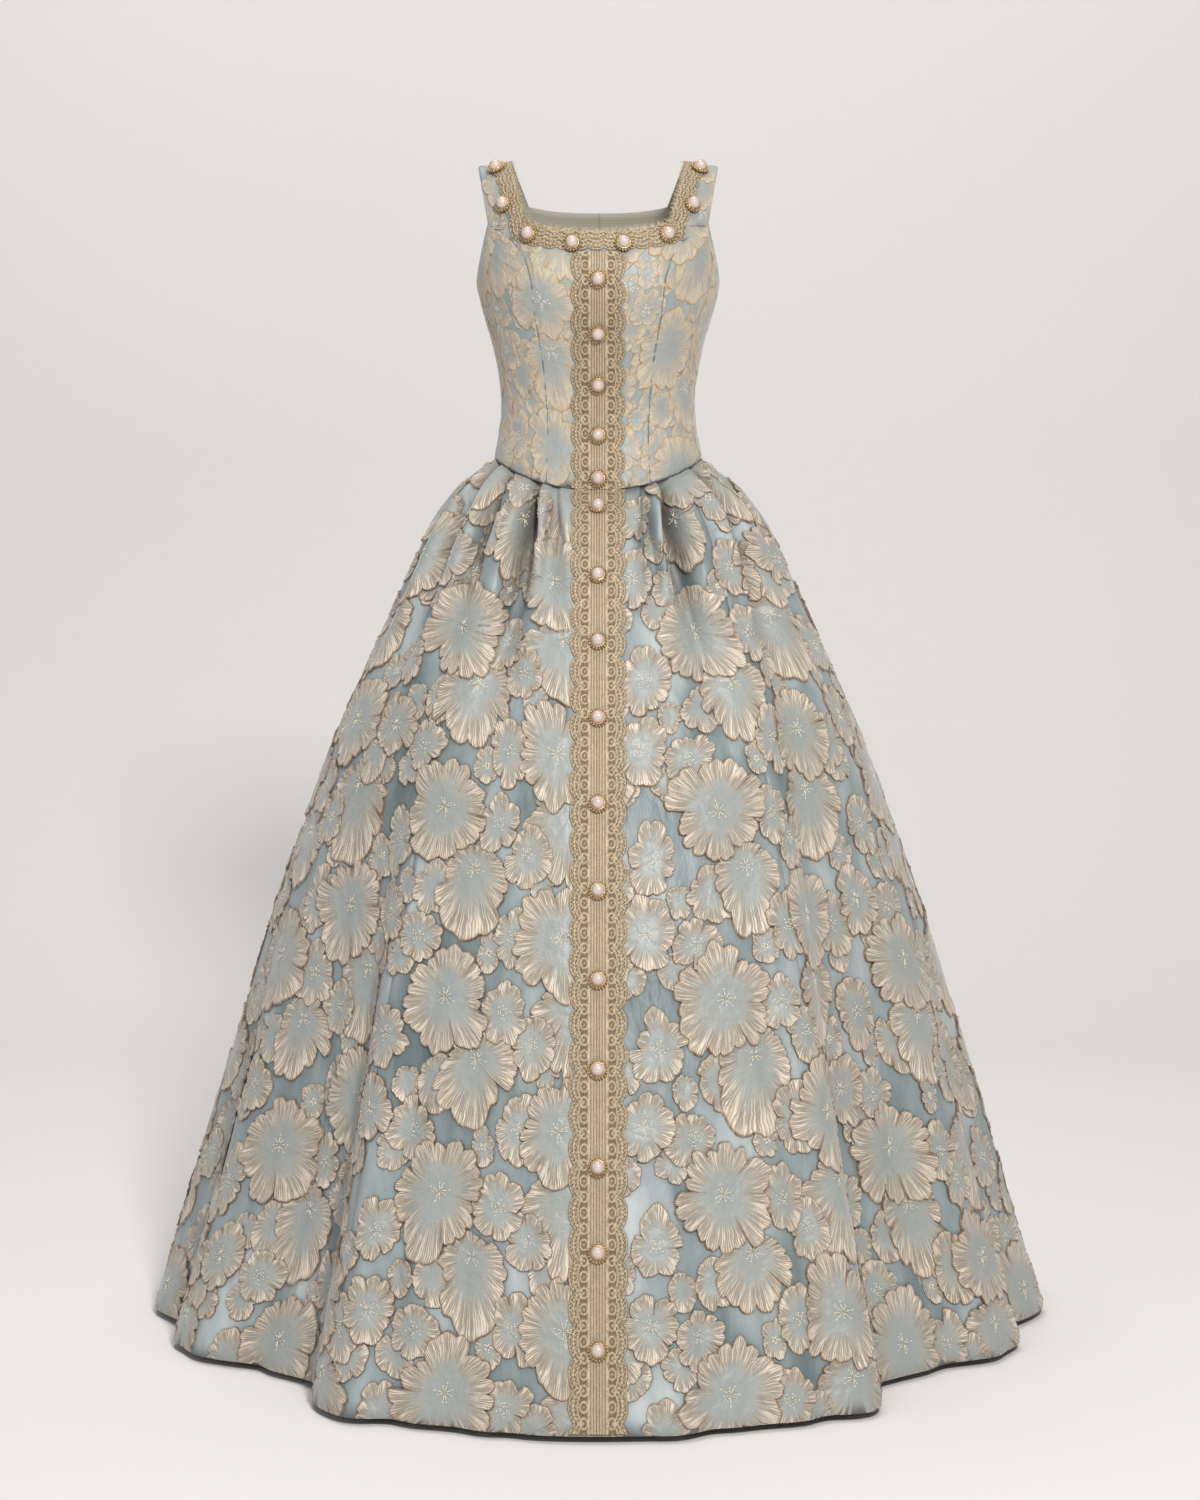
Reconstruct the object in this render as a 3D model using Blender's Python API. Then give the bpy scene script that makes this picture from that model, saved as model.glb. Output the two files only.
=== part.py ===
# A sleeveless, square-necked overgown: a fitted, princess-seamed bodice over a full skirt that is
# pleated into a dipped waist seam, with a lace band down the front, lace round the neckline, and
# pearls in metal settings. It keeps the hollow form that it has when it is worn.
#
# Metres, +Z up, and the front faces -Y. The origin is midway between the two straps, at the height
# where the shoulders carry them. Heights in the tables below are taken from the hem.
import math
from collections import namedtuple

import bmesh
import bpy
import numpy as np
from mathutils import Matrix, Vector

# Driving dimensions
SHOULDER_HEIGHT = 1.389  # from the hem to the top of the straps
BODICE_THICK = 0.0022  # brocade over its firm backing
SKIRT_THICK = 0.0018
LACE_THICK = 0.0012
SEAM_GAP = 0.0003  # between neighbouring pieces at a seam
WAIST_GAP = 0.0007  # at the waist seam, where the bodice's and the skirt's facets differ
PRINCESS_GAP = 0.0005  # across the princess seams, which run aslant into the armholes
LACE_GAP = 0.0004  # under the lace, which follows the facets of the panel that it lies on

WAIST_SIDE = 1.0305  # height of the waist seam at the side
WAIST_FRONT = 0.995  # and where it dips at the centre of the front
WAIST_BACK = 1.018
WAIST_DIP_POWER = 2.2

HEM_WIDE = 0.5488  # the skirt's radius at the hem, at the sides
HEM_FRONT = 0.550
HEM_BACK = 0.560

NECK_FRONT = 1.3007  # height of the front neckline at its middle
NECK_BACK = 1.333
CORNER_X = 0.0855  # half the width of the square neckline at its corners
CORNER_FRONT = 1.3133
CORNER_BACK = 1.340
STRAP_IN_X = 0.104  # the strap's inner and outer edges on top of the shoulder
STRAP_OUT_X = 0.145
SHOULDER_SLOPE = 0.13  # how much lower the strap lies for each metre outwards
NOTCH_X = 0.131  # where the princess seam runs into the armhole
NOTCH_FRONT = 1.3122
NOTCH_BACK = 1.300
UNDERARM = 1.240  # height of the armhole's lowest point, at the side seam

BUST_X = 0.066
BUST_HEIGHT = 1.232
BUST_OUT = 0.009
BUST_BRIDGE = 0.6  # the share of it that is kept on the centre line

BAND_WIDE = 0.062  # the lace band down the front, with its scallops
SCALLOP_DEEP = 0.0055
SCALLOP_PITCH = 0.034
NECK_LACE_WIDE = 0.023
STRAP_LACE_WIDE = 0.027  # on top of the shoulder
CORNER_LACE_WIDE = 0.020  # and at the neckline's corner
NECK_LACE_GAP = 0.0006
HEM_CLEAR = 0.002  # the band's end lies this far above the hem

PEARL_R = 0.0076
SETTING_R = 0.0112
SETTING_HIGH = 0.0035
PEARL_SUNK = 0.0065  # how deep the pearl sits in its setting
PEARL_SIDES = 10
PEARL_GAP = 0.0010  # under a setting, whose flat foot lies on curved lace

# Cross-sections of the worn bodice, from the waist up and over the shoulder.
Section = namedtuple("Section", "height half_width front back")
BODICE = [
    Section(0.960, 0.1400, 0.114, 0.112),
    Section(0.995, 0.1310, 0.104, 0.100),
    Section(1.0305, 0.1256, 0.097, 0.090),
    Section(1.060, 0.1200, 0.091, 0.084),
    Section(1.094, 0.1165, 0.089, 0.081),
    Section(1.130, 0.1195, 0.095, 0.085),
    Section(1.170, 0.1275, 0.106, 0.092),
    Section(1.210, 0.1390, 0.117, 0.099),
    Section(1.245, 0.1476, 0.121, 0.104),
    Section(1.280, 0.1500, 0.117, 0.108),
    Section(1.3133, 0.1510, 0.108, 0.107),
    Section(1.343, 0.1520, 0.090, 0.095),
    Section(1.368, 0.1525, 0.062, 0.069),
    Section(1.383, 0.1530, 0.032, 0.036),
    Section(1.389, 0.1530, 0.000, 0.000),
    Section(1.383, 0.1530, -0.032, -0.036),  # past the top, so that the shoulder is round
]
TOP_ROW = len(BODICE) - 2
SQUARENESS = 0.90  # exponent of the cross-section's sine and cosine; 1 is an ellipse

# The front princess seam: its distance from the centre line at each height.
SeamPoint = namedtuple("SeamPoint", "height x")
FRONT_SEAM = [
    SeamPoint(0.960, 0.0640),
    SeamPoint(1.023, 0.0608),
    SeamPoint(1.073, 0.0598),
    SeamPoint(1.111, 0.0623),
    SeamPoint(1.150, 0.0661),
    SeamPoint(1.204, 0.0751),
    SeamPoint(1.250, 0.0811),
    SeamPoint(1.275, 0.0900),
    SeamPoint(1.295, 0.1073),
    SeamPoint(NOTCH_FRONT, NOTCH_X),
]
BACK_SEAM = [
    SeamPoint(0.960, 0.0600),
    SeamPoint(1.040, 0.0540),
    SeamPoint(1.094, 0.0540),
    SeamPoint(1.170, 0.0680),
    SeamPoint(1.230, 0.0860),
    SeamPoint(1.270, 0.1060),
    SeamPoint(NOTCH_BACK, NOTCH_X),
]

# How the skirt flares: the share of the hem's spread reached at each share of the way down.
FlarePoint = namedtuple("FlarePoint", "down out")
FLARE = [
    FlarePoint(0.00, 0.000),
    FlarePoint(0.02, 0.060),
    FlarePoint(0.07, 0.164),
    FlarePoint(0.12, 0.229),
    FlarePoint(0.20, 0.325),
    FlarePoint(0.31, 0.443),
    FlarePoint(0.41, 0.533),
    FlarePoint(0.52, 0.630),
    FlarePoint(0.64, 0.725),
    FlarePoint(0.76, 0.819),
    FlarePoint(0.88, 0.911),
    FlarePoint(1.00, 1.000),
]

# Where a line of the cloth that leaves the waist at one angle from the front reaches the hem.
Spread = namedtuple("Spread", "waist_deg hem_deg")
BAND_EDGE_DEG = 15.5
SPREAD = [
    Spread(0, 0),
    Spread(BAND_EDGE_DEG, 3.45),
    Spread(22, 11),
    Spread(34, 23),
    Spread(56, 41),
    Spread(70, 56),
    Spread(90, 82),
    Spread(118, 112),
    Spread(150, 147),
    Spread(180, 180),
]

# Pleats at the waist: the angle of each valley, its depth, its half-width in degrees of the waist,
# and the share of the skirt's length at which it has opened out. Right of the wearer is negative.
Pleat = namedtuple("Pleat", "waist_deg depth half_deg length")
PLEATS = [
    Pleat(-166, 0.020, 3.0, 0.34),
    Pleat(-146, 0.024, 3.2, 0.44),
    Pleat(-127, 0.022, 3.2, 0.38),
    Pleat(-108, 0.024, 3.2, 0.42),
    Pleat(-91, 0.020, 3.2, 0.36),
    Pleat(-72, 0.028, 3.2, 0.42),
    Pleat(-54, 0.024, 2.8, 0.30),
    Pleat(-34, 0.030, 3.0, 0.40),
    Pleat(-22, 0.014, 2.4, 0.24),
    Pleat(24, 0.016, 2.4, 0.26),
    Pleat(36, 0.030, 3.0, 0.38),
    Pleat(61, 0.030, 3.2, 0.44),
    Pleat(80, 0.022, 3.0, 0.34),
    Pleat(100, 0.024, 3.2, 0.40),
    Pleat(119, 0.022, 3.2, 0.38),
    Pleat(138, 0.024, 3.2, 0.42),
    Pleat(158, 0.020, 3.0, 0.34),
]
PLEAT_SPREADS = 1.6  # how many times wider a valley is where it has opened out

# Broad flutes at the hem: the angle of each valley, its depth, and its half-width in degrees on the
# side towards the front, where the next fold hangs over it, and on the side away from it.
Flute = namedtuple("Flute", "hem_deg depth near_deg far_deg starts")
FLUTES = [
    Flute(-154, 0.045, 9, 9, 0.30),
    Flute(-118, 0.060, 8, 14, 0.25),
    Flute(-76, 0.040, 4, 8, 0.40),
    Flute(-43.5, 0.076, 6.3, 21, 0.22),
    Flute(-17, 0.012, 6, 7, 0.35),
    Flute(19, 0.012, 7, 6, 0.40),
    Flute(43, 0.076, 6.3, 21, 0.24),
    Flute(75, 0.040, 4, 8, 0.40),
    Flute(116, 0.060, 8, 14, 0.25),
    Flute(152, 0.045, 9, 9, 0.30),
]

# Pearls: heights of those on the front band, and the places of those round the neckline.
BAND_PEARLS_BODICE = [1.2435, 1.1815, 1.1205, 1.0595, 1.0080]
BAND_PEARLS_SKIRT = [0.974, 0.898, 0.824, 0.740, 0.6475, 0.5545, 0.461, 0.3675, 0.2675, 0.181, 0.084]
NECK_PEARLS = [  # (distance from the centre line, height)
    (0.0300, 1.2862),
    (0.0810, 1.2975),
]
STRAP_PEARLS = [  # (distance from the centre line, share of the way from the corner to the top)
    (0.1105, 0.17),
    (0.1215, 0.68),
]

# Colours as (red, green, blue), with roughness and metallic
SATIN_BLUE = ((0.42, 0.50, 0.52), 0.38, 0.0)
LACE_ECRU = ((0.50, 0.42, 0.29), 0.70, 0.0)
PEARL_WHITE = ((0.80, 0.71, 0.67), 0.18, 0.1)

FRONT, BACK = 1, -1
LEFT, RIGHT = -1, 1


def smooth(xs, ys, x):
    """The height at x of the smooth curve through the points (xs, ys)."""
    slopes = np.gradient(ys, xs)
    k = int(np.clip(np.searchsorted(xs, x) - 1, 0, len(xs) - 2))
    span = xs[k + 1] - xs[k]
    s = min(max((x - xs[k]) / span, 0.0), 1.0)
    rise = ys[k + 1] - ys[k]
    a = slopes[k] * span - rise
    b = rise - slopes[k + 1] * span
    return ys[k] + s * rise + s * (1 - s) * (a * (1 - s) + b * s)


def columns(table):
    """The columns of a table of named tuples, as arrays."""
    return [np.array(column, float) for column in zip(*table)]


BODICE_COLUMNS = columns(BODICE)
ROW_NUMBERS = np.arange(len(BODICE), dtype=float)
FLARE_COLUMNS = columns(FLARE)
SPREAD_COLUMNS = columns(SPREAD)
SEAM_COLUMNS = {FRONT: columns(FRONT_SEAM), BACK: columns(BACK_SEAM)}
CORNER_HEIGHT = {FRONT: CORNER_FRONT, BACK: CORNER_BACK}
NECK_HEIGHT = {FRONT: NECK_FRONT, BACK: NECK_BACK}
NOTCH_HEIGHT = {FRONT: NOTCH_FRONT, BACK: NOTCH_BACK}


def signed_power(value, power):
    return math.copysign(abs(value) ** power, value)


def section_at(row):
    """The bodice's cross-section at a row number, which may lie between two rows."""
    return Section(*(smooth(ROW_NUMBERS, column, row) for column in BODICE_COLUMNS))


FINE_ROWS = np.linspace(0, TOP_ROW, 400)
FINE_HEIGHTS = np.array([section_at(row).height for row in FINE_ROWS])


def row_at_height(height):
    return float(np.interp(height, FINE_HEIGHTS, FINE_ROWS))


def bust(x, height):
    """How far the front stands out over the bust; the cloth bridges the hollow at the middle."""
    across = math.exp(-(((abs(x) - BUST_X) / 0.042) ** 2))
    if abs(x) < BUST_X:
        across = BUST_BRIDGE + (1 - BUST_BRIDGE) * across
    return BUST_OUT * across * math.exp(-(((height - BUST_HEIGHT) / 0.046) ** 2))


def bodice_point(x, row, face):
    """A point of the bodice's outer surface, by its distance from the centre line."""
    section = section_at(row)
    across = min(abs(x) / section.half_width, 1.0) ** (1 / SQUARENESS)
    forward = math.sqrt(max(1 - across * across, 0.0)) ** SQUARENESS
    depth = section.front if face == FRONT else section.back
    y = -depth * forward if face == FRONT else depth * forward
    if face == FRONT:
        y -= bust(x, section.height) * forward
    over = max(0.0, (section.height - CORNER_FRONT) / (SHOULDER_HEIGHT - CORNER_FRONT))
    return Vector((x, y, section.height - over * SHOULDER_SLOPE * max(0.0, abs(x) - STRAP_IN_X)))


def bodice_side_point(angle_deg, row):
    """A point of the bodice's outer surface, by its angle from the front."""
    section = section_at(row)
    angle = math.radians(angle_deg)
    x = section.half_width * signed_power(math.sin(angle), SQUARENESS)
    forward = signed_power(math.cos(angle), SQUARENESS)
    y = -forward * (section.front if forward > 0 else section.back)
    if forward > 0:
        y -= bust(x, section.height) * forward
    return Vector((x, y, section.height))


def angle_of(x, row):
    """The angle from the front, or from the back, at which the cross-section is this wide."""
    share = min(abs(x) / section_at(row).half_width, 1.0) ** (1 / SQUARENESS)
    return math.degrees(math.asin(share))


def waist_height(angle_deg):
    """Height of the waist seam, which dips at the centre of the front and a little at the back."""
    sine = abs(math.sin(math.radians(angle_deg))) ** SQUARENESS
    lowest = WAIST_FRONT if abs(angle_deg) < 90 else WAIST_BACK
    return WAIST_SIDE - (WAIST_SIDE - lowest) * (1 - sine**WAIST_DIP_POWER)


def waist_line(face):
    """Distances from the centre line along the waist seam, and the seam's height at each."""
    angles = np.linspace(0, 90, 61)
    heights = [waist_height(angle if face == FRONT else 180 - angle) for angle in angles]
    sines = np.sin(np.radians(angles)) ** SQUARENESS
    return [s * section_at(row_at_height(z)).half_width for s, z in zip(sines, heights)], heights


WAIST_LINE = {face: waist_line(face) for face in (FRONT, BACK)}


def seam_x(height, face):
    return smooth(*SEAM_COLUMNS[face], height)


def spread_grid(rows, surface):
    """Points and outward normals of a surface at each (u, v) of the rows; None stays None."""
    points, normals = [], []
    for row in rows:
        points.append([None if uv is None else surface(*uv) for uv in row])
        normals.append([None if uv is None else outward(surface, *uv) for uv in row])
    return points, normals


def outward(surface, u, v):
    """The outward normal, from two short steps on the surface."""
    step_u, step_v = 0.15, 0.01
    along = surface(u + step_u, v) - surface(u - step_u, v)
    up = surface(u, v + step_v) - surface(u, v - step_v)
    return along.cross(up).normalized()


def wall(name, points, normals, thick, material, lift=0.0):
    """One closed solid: the grid of points moved out by lift, with a wall of that thickness.

    A positive thickness grows inwards from the points, and a negative one outwards.
    """
    mesh = bmesh.new()
    outer, inner = {}, {}
    low, high = sorted((lift, lift - thick))
    for i, row in enumerate(points):
        for j, point in enumerate(row):
            if point is None:
                continue
            outer[i, j] = mesh.verts.new(point + normals[i][j] * high)
            inner[i, j] = mesh.verts.new(point + normals[i][j] * low)
    edges = {}
    for i in range(len(points) - 1):
        for j in range(len(points[0]) - 1):
            corners = [(i, j), (i, j + 1), (i + 1, j + 1), (i + 1, j)]
            if any(corner not in outer for corner in corners):
                continue
            mesh.faces.new([outer[c] for c in corners])
            mesh.faces.new([inner[c] for c in reversed(corners)])
            for a, b in zip(corners, corners[1:] + corners[:1]):
                if (b, a) in edges:
                    del edges[b, a]
                else:
                    edges[a, b] = True
    for a, b in edges:
        mesh.faces.new([outer[b], outer[a], inner[a], inner[b]])
    for corner in [c for c, vert in outer.items() if not vert.link_faces]:
        mesh.verts.remove(outer[corner])
        mesh.verts.remove(inner[corner])
    bmesh.ops.recalc_face_normals(mesh, faces=mesh.faces[:])
    if mesh.calc_volume(signed=True) < 0:
        bmesh.ops.reverse_faces(mesh, faces=mesh.faces[:])
    return add_object(name, mesh, material)


def add_object(name, mesh, material):
    data = bpy.data.meshes.new(name)
    mesh.to_mesh(data)
    mesh.free()
    data.shade_smooth()
    data.set_sharp_from_angle(angle=math.radians(40))
    data.materials.append(material)
    made = bpy.data.objects.new(name, data)
    bpy.context.scene.collection.objects.link(made)
    made.location.z = -SHOULDER_HEIGHT
    return made


def shifted(points, move):
    """The grid moved by half a seam's gap, so that it stays clear of its neighbour."""
    offset = Vector(move) * (SEAM_GAP / 2)
    return [[None if p is None else p + offset for p in row] for row in points]


# The bodice's panels


def seam_foot(face):
    """The height at which the princess seam meets the waist seam."""
    height = WAIST_SIDE
    for _ in range(8):
        height = float(np.interp(seam_x(height, face), *WAIST_LINE[face]))
    return height + WAIST_GAP / 2


def seam_height(share, face):
    """Height on the princess seam, from the waist at share 0 to the armhole at share 1."""
    foot = seam_foot(face)
    return foot + (NOTCH_HEIGHT[face] - foot) * share


def centre_columns(share, face):
    """Where a centre panel's upright lines lie, from the centre line out to the princess seam."""
    outer = seam_x(seam_height(share, face), face)
    edge = BAND_WIDE / 2
    inner = max(CORNER_X / NOTCH_X * outer, edge + 0.006)
    strap = [inner + (outer - inner) * k / STRAP_COLUMNS for k in range(STRAP_COLUMNS + 1)]
    return [0.0, edge / 2, edge, (edge + inner) / 2, *strap]


STRAP_COLUMNS = 3
CORNER_COLUMN = 4  # the line of centre_columns that runs up to the neckline's corner
BODY_SHARES = [0, 0.13, 0.26, 0.39, 0.51, 0.62, 0.72, 0.81, 0.88, 0.94, 1]  # of the panel's height
BODY_ROWS = len(BODY_SHARES) - 1
STRAP_ROWS = 6
SIDE_COLUMNS = 5
ARMHOLE_BOW = 0.018  # how far the armhole's edge sags below a straight line


def neckline_height(x, face):
    """Height of a centre panel's last row below the strap."""
    corner = CORNER_HEIGHT[face]
    if x > CORNER_X:
        return corner + (NOTCH_HEIGHT[face] - corner) * (x - CORNER_X) / (NOTCH_X - CORNER_X)
    return corner - (corner - NECK_HEIGHT[face]) * (1 - (x / CORNER_X) ** 3)


def centre_panel_rows(face):
    """Rows of (x, row number) from the waist to the shoulder, for the wearer's left."""
    lows = [float(np.interp(x, *WAIST_LINE[face])) + WAIST_GAP / 2 for x in centre_columns(0, face)]
    lows[-1] = seam_foot(face)
    highs = [neckline_height(x, face) for x in centre_columns(1, face)]
    rows = []
    for share in BODY_SHARES:
        heights = [low + (high - low) * share for low, high in zip(lows, highs)]
        rows.append([(x, row_at_height(z)) for x, z in zip(centre_columns(share, face), heights)])
    first = rows[-1]
    for i in range(1, STRAP_ROWS + 1):
        row = [None] * CORNER_COLUMN
        for j in range(CORNER_COLUMN, len(first)):
            across = (j - CORNER_COLUMN) / (len(first) - 1 - CORNER_COLUMN)
            start = first[j][1]
            here = start + (TOP_ROW - start) * i / STRAP_ROWS
            bottom = section_at(start).height
            risen = (section_at(here).height - bottom) / (SHOULDER_HEIGHT - bottom)
            inner = CORNER_X + (STRAP_IN_X - CORNER_X) * risen
            outer = NOTCH_X + (STRAP_OUT_X - NOTCH_X) * risen
            row.append((inner + (outer - inner) * across, here))
        rows.append(row)
    return rows


def side_panel_rows(face):
    """Rows of (angle from the front, row number) from the princess seam to the side seam."""
    starts = []
    for share in BODY_SHARES:
        height = seam_height(share, face)
        starts.append(angle_of(seam_x(height, face) + PRINCESS_GAP, row_at_height(height)))
    turned = (lambda angle: angle) if face == FRONT else (lambda angle: 180 - angle)
    rows = [[] for _ in starts]
    for j in range(SIDE_COLUMNS + 1):
        across = j / SIDE_COLUMNS
        angles = [turned(start + (90 - start) * across) for start in starts]
        low = waist_height(angles[0]) + WAIST_GAP / 2 if j else seam_foot(face)
        high = NOTCH_HEIGHT[face] + (UNDERARM - NOTCH_HEIGHT[face]) * across
        high -= ARMHOLE_BOW * math.sin(math.pi * across)
        for row, angle, share in zip(rows, angles, BODY_SHARES):
            row.append((angle, row_at_height(low + (high - low) * share)))
    return rows


def mirrored(points, normals, side):
    """The grid on its own side of the centre line; the left one is turned over."""
    if side == RIGHT:
        return points, normals
    flip = Vector((-1, 1, 1))
    return tuple(
        [[None if p is None else p * flip for p in row] for row in grid] for grid in (points, normals)
    )


def centre_grid(face):
    surface = lambda x, row: bodice_point(x, row, face)
    points, normals = [], []
    for row in centre_panel_rows(face):
        points.append([None if uv is None else surface(*uv) for uv in row])
        normals.append([None if uv is None else centre_normal(uv, face) for uv in row])
    return points, normals


def centre_normal(uv, face):
    """The outward normal of a centre panel at (x, row number)."""
    x, row = uv
    step_x, step_row = 0.0008, 0.02
    low, high = max(row - step_row, 0), row + step_row
    along = bodice_point(x + step_x, row, face) - bodice_point(x - step_x, row, face)
    up = bodice_point(x, high, face) - bodice_point(x, low, face)
    return (along.cross(up) * face).normalized()


def build_bodice(material):
    """The eight bodice panels. It returns the right-hand front's grid, which the lace lies on."""
    front_grid = None
    for face, word in ((FRONT, "front"), (BACK, "back")):
        centre = centre_grid(face)
        side = spread_grid(side_panel_rows(face), bodice_side_point)
        if face == FRONT:
            front_grid = centre
        for hand, hand_word in ((LEFT, "right"), (RIGHT, "left")):
            for kind, grid in (("centre", centre), ("side", side)):
                points, normals = mirrored(*grid, hand)
                points = shifted(points, (hand, -face, 0))
                wall(f"bodice_{word}_{kind}_{hand_word}", points, normals, BODICE_THICK, material)
    return front_grid


# The skirt


def notch(offset, near, far):
    """A smooth dip, 1 at its middle, with its own half-width on each side."""
    width = near if offset < 0 else far
    return math.exp(-((offset / width) ** 2))


def hem_angle(waist_deg):
    size = float(np.interp(abs(waist_deg), *SPREAD_COLUMNS))
    return math.copysign(size, waist_deg)


def ease(value):
    value = min(max(value, 0.0), 1.0)
    return value * value * (3 - 2 * value)


def pleat_inset(waist_deg, down):
    """How far the pleats draw the cloth in: deepest a little below the waist, then opening out."""
    total = 0.0
    for pleat in PLEATS:
        away = (waist_deg - pleat.waist_deg + 180) % 360 - 180
        gone = down / pleat.length
        if gone >= 1 or abs(away) > 20:
            continue
        deep = pleat.depth * (0.45 + 0.55 * ease(down / 0.06)) * (1 - ease(gone))
        wide = pleat.half_deg * (1 + (PLEAT_SPREADS - 1) * gone)
        total += deep * notch(away, wide, wide)
    return total


def flute_inset(hem_deg, down):
    """How far the broad flutes draw the cloth in, growing towards the hem."""
    total = 0.0
    for flute in FLUTES:
        away = (hem_deg - flute.hem_deg + 180) % 360 - 180
        near, far = flute.near_deg, flute.far_deg
        if flute.hem_deg < 0:
            near, far = far, near
        grown = ease((down - flute.starts) / (1 - flute.starts))
        total += flute.depth * grown * notch(away, near, far)
    return total


def skirt_point(waist_deg, down):
    """A point of the skirt's outer surface. down runs from 0 at the waist seam to 1 at the hem."""
    down = min(max(down, 0.0), 1.0)
    seam = waist_height(waist_deg)
    top = bodice_side_point(waist_deg, row_at_height(seam))
    hem_deg = hem_angle(waist_deg)
    turn = math.radians(hem_deg)
    deep = HEM_FRONT if abs(hem_deg) < 90 else HEM_BACK
    hem = Vector((HEM_WIDE * math.sin(turn), -deep * math.cos(turn), 0))
    out = smooth(*FLARE_COLUMNS, down)
    place = Vector((top.x, top.y, 0)).lerp(hem, out)
    inset = pleat_inset(waist_deg, down) + flute_inset(hem_deg, down)
    place -= place.normalized() * inset
    place.z = (seam - WAIST_GAP / 2) * (1 - down)
    return place


def skirt_normal(waist_deg, down):
    step_angle, step_down = 0.12, 0.004
    low, high = max(down - step_down, 0), min(down + step_down, 1)
    along = skirt_point(waist_deg + step_angle, down) - skirt_point(waist_deg - step_angle, down)
    up = skirt_point(waist_deg, low) - skirt_point(waist_deg, high)
    return along.cross(up).normalized()


SKIRT_ROWS = [0, 0.025, 0.06, 0.11, 0.18, 0.27, 0.38, 0.52, 0.68, 0.84, 1.0]
GORE_EDGES = [0, 47, 110, 180]  # seams of the skirt, in degrees at the waist, on each side
GORE_WORDS = ["front", "side", "back"]


def gore_columns(first, last):
    """Angles at the waist of a gore's upright lines: close together in each pleat."""
    found = {first, last}
    for pleat in PLEATS:
        for share in (-1.9, -0.9, 0, 0.9, 1.9):
            angle = pleat.waist_deg + share * pleat.half_deg
            if first + 1.2 < angle < last - 1.2:
                found.add(angle)
    for edge in (BAND_EDGE_DEG / 2, BAND_EDGE_DEG):
        for angle in (-edge, edge):
            if first < angle < last:
                found.add(angle)
    ordered = sorted(found)
    kept = [ordered[0]]
    for angle in ordered[1:-1]:
        if angle - kept[-1] >= 1.2 or abs(abs(angle) - BAND_EDGE_DEG) < 0.01:
            kept.append(angle)
    kept.append(ordered[-1])
    filled = [kept[0]]
    for angle in kept[1:]:
        gaps = max(1, math.ceil((angle - filled[-1]) / 7.5))
        start = filled[-1]
        filled += [start + (angle - start) * k / gaps for k in range(1, gaps + 1)]
    return filled


def build_skirt(material):
    """The six gores. It returns the grids of the two front ones, which the band lies on."""
    fronts = {}
    for hand, hand_word in ((LEFT, "right"), (RIGHT, "left")):
        for k, word in enumerate(GORE_WORDS):
            edges = sorted((hand * GORE_EDGES[k], hand * GORE_EDGES[k + 1]))
            angles = gore_columns(*edges)
            points = [[skirt_point(a, down) for a in angles] for down in SKIRT_ROWS]
            normals = [[skirt_normal(a, down) for a in angles] for down in SKIRT_ROWS]
            points = trimmed(points)
            wall(f"skirt_{word}_{hand_word}", points, normals, SKIRT_THICK, material)
            if word == "front":
                fronts[hand] = (points, normals)
    return fronts


def trimmed(points):
    """The grid with its two upright edges drawn in by half a seam's gap."""
    made = []
    for row in points:
        row = [p.copy() for p in row]
        for edge, inside in ((0, 1), (-1, -2)):
            row[edge] += (row[inside] - row[edge]).normalized() * (SEAM_GAP / 2)
        made.append(row)
    return made


# Lace, which lies on the panels


def between(grid, i, j):
    """The grid's value at fractional row i and column j, on the panel's own facets."""
    i0, j0 = min(int(i), len(grid) - 2), min(int(j), len(grid[0]) - 2)
    s, t = i - i0, j - j0
    low = grid[i0][j0].lerp(grid[i0][j0 + 1], t)
    high = grid[i0 + 1][j0].lerp(grid[i0 + 1][j0 + 1], t)
    return low.lerp(high, s)


def column_at_x(points, i, x):
    """The fractional column at which row i of a front panel lies this far from the centre line."""
    i0 = min(int(i), len(points) - 2)
    wanted = abs(x)
    count = sum(p is not None for p in points[i0])
    found = [abs(between(points, i, j).x) for j in range(count)]
    order = range(count) if found[0] < found[-1] else range(count - 1, -1, -1)
    xs = [found[k] for k in order]
    return float(np.interp(wanted, xs, list(order)))


def scalloped(distance):
    """Half the band's width at a distance along it."""
    phase = (distance / SCALLOP_PITCH) % 1.0
    return BAND_WIDE / 2 - SCALLOP_DEEP * (1 - math.sqrt(abs(math.sin(math.pi * phase))))


def band(name, row_numbers, place, material):
    """A lace band: place(row number, x) gives its point and normal on the panels below it."""
    shares = (-1.0, -0.5, 0.0, 0.5, 1.0)
    travelled = 0.0
    last = None
    points, normals = [], []
    for i in row_numbers:
        middle = place(i, 0.0)[0]
        travelled += (middle - last).length if last is not None else 0.0
        last = middle
        pairs = [place(i, share * scalloped(travelled)) for share in shares]
        points.append([point for point, _ in pairs])
        normals.append([normal for _, normal in pairs])
    return wall(name, points, normals, -LACE_THICK, material, lift=LACE_GAP)


def row_steps(grid, first, last, pitch):
    """Fractional row numbers about a pitch apart on the panel's centre line, with every whole row."""
    steps = [first]
    for i in range(int(first), math.ceil(last)):
        low, high = max(i, first), min(i + 1, last)
        long = (grid[i + 1][0] - grid[i][0]).length * (high - low)
        count = max(1, round(long / pitch))
        steps += [low + (high - low) * k / count for k in range(1, count + 1)]
    return steps


def bodice_band_place(grid):
    points, normals = grid

    def place(i, x):
        j = column_at_x(points, i, x)
        point, normal = between(points, i, j), between(normals, i, j)
        if x < 0:
            flip = Vector((-1, 1, 1))
            point, normal = point * flip, normal * flip
        if x == 0:
            point.x = 0.0
        return point + Vector((0, -SEAM_GAP / 2, 0)), normal.normalized()

    return place


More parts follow.
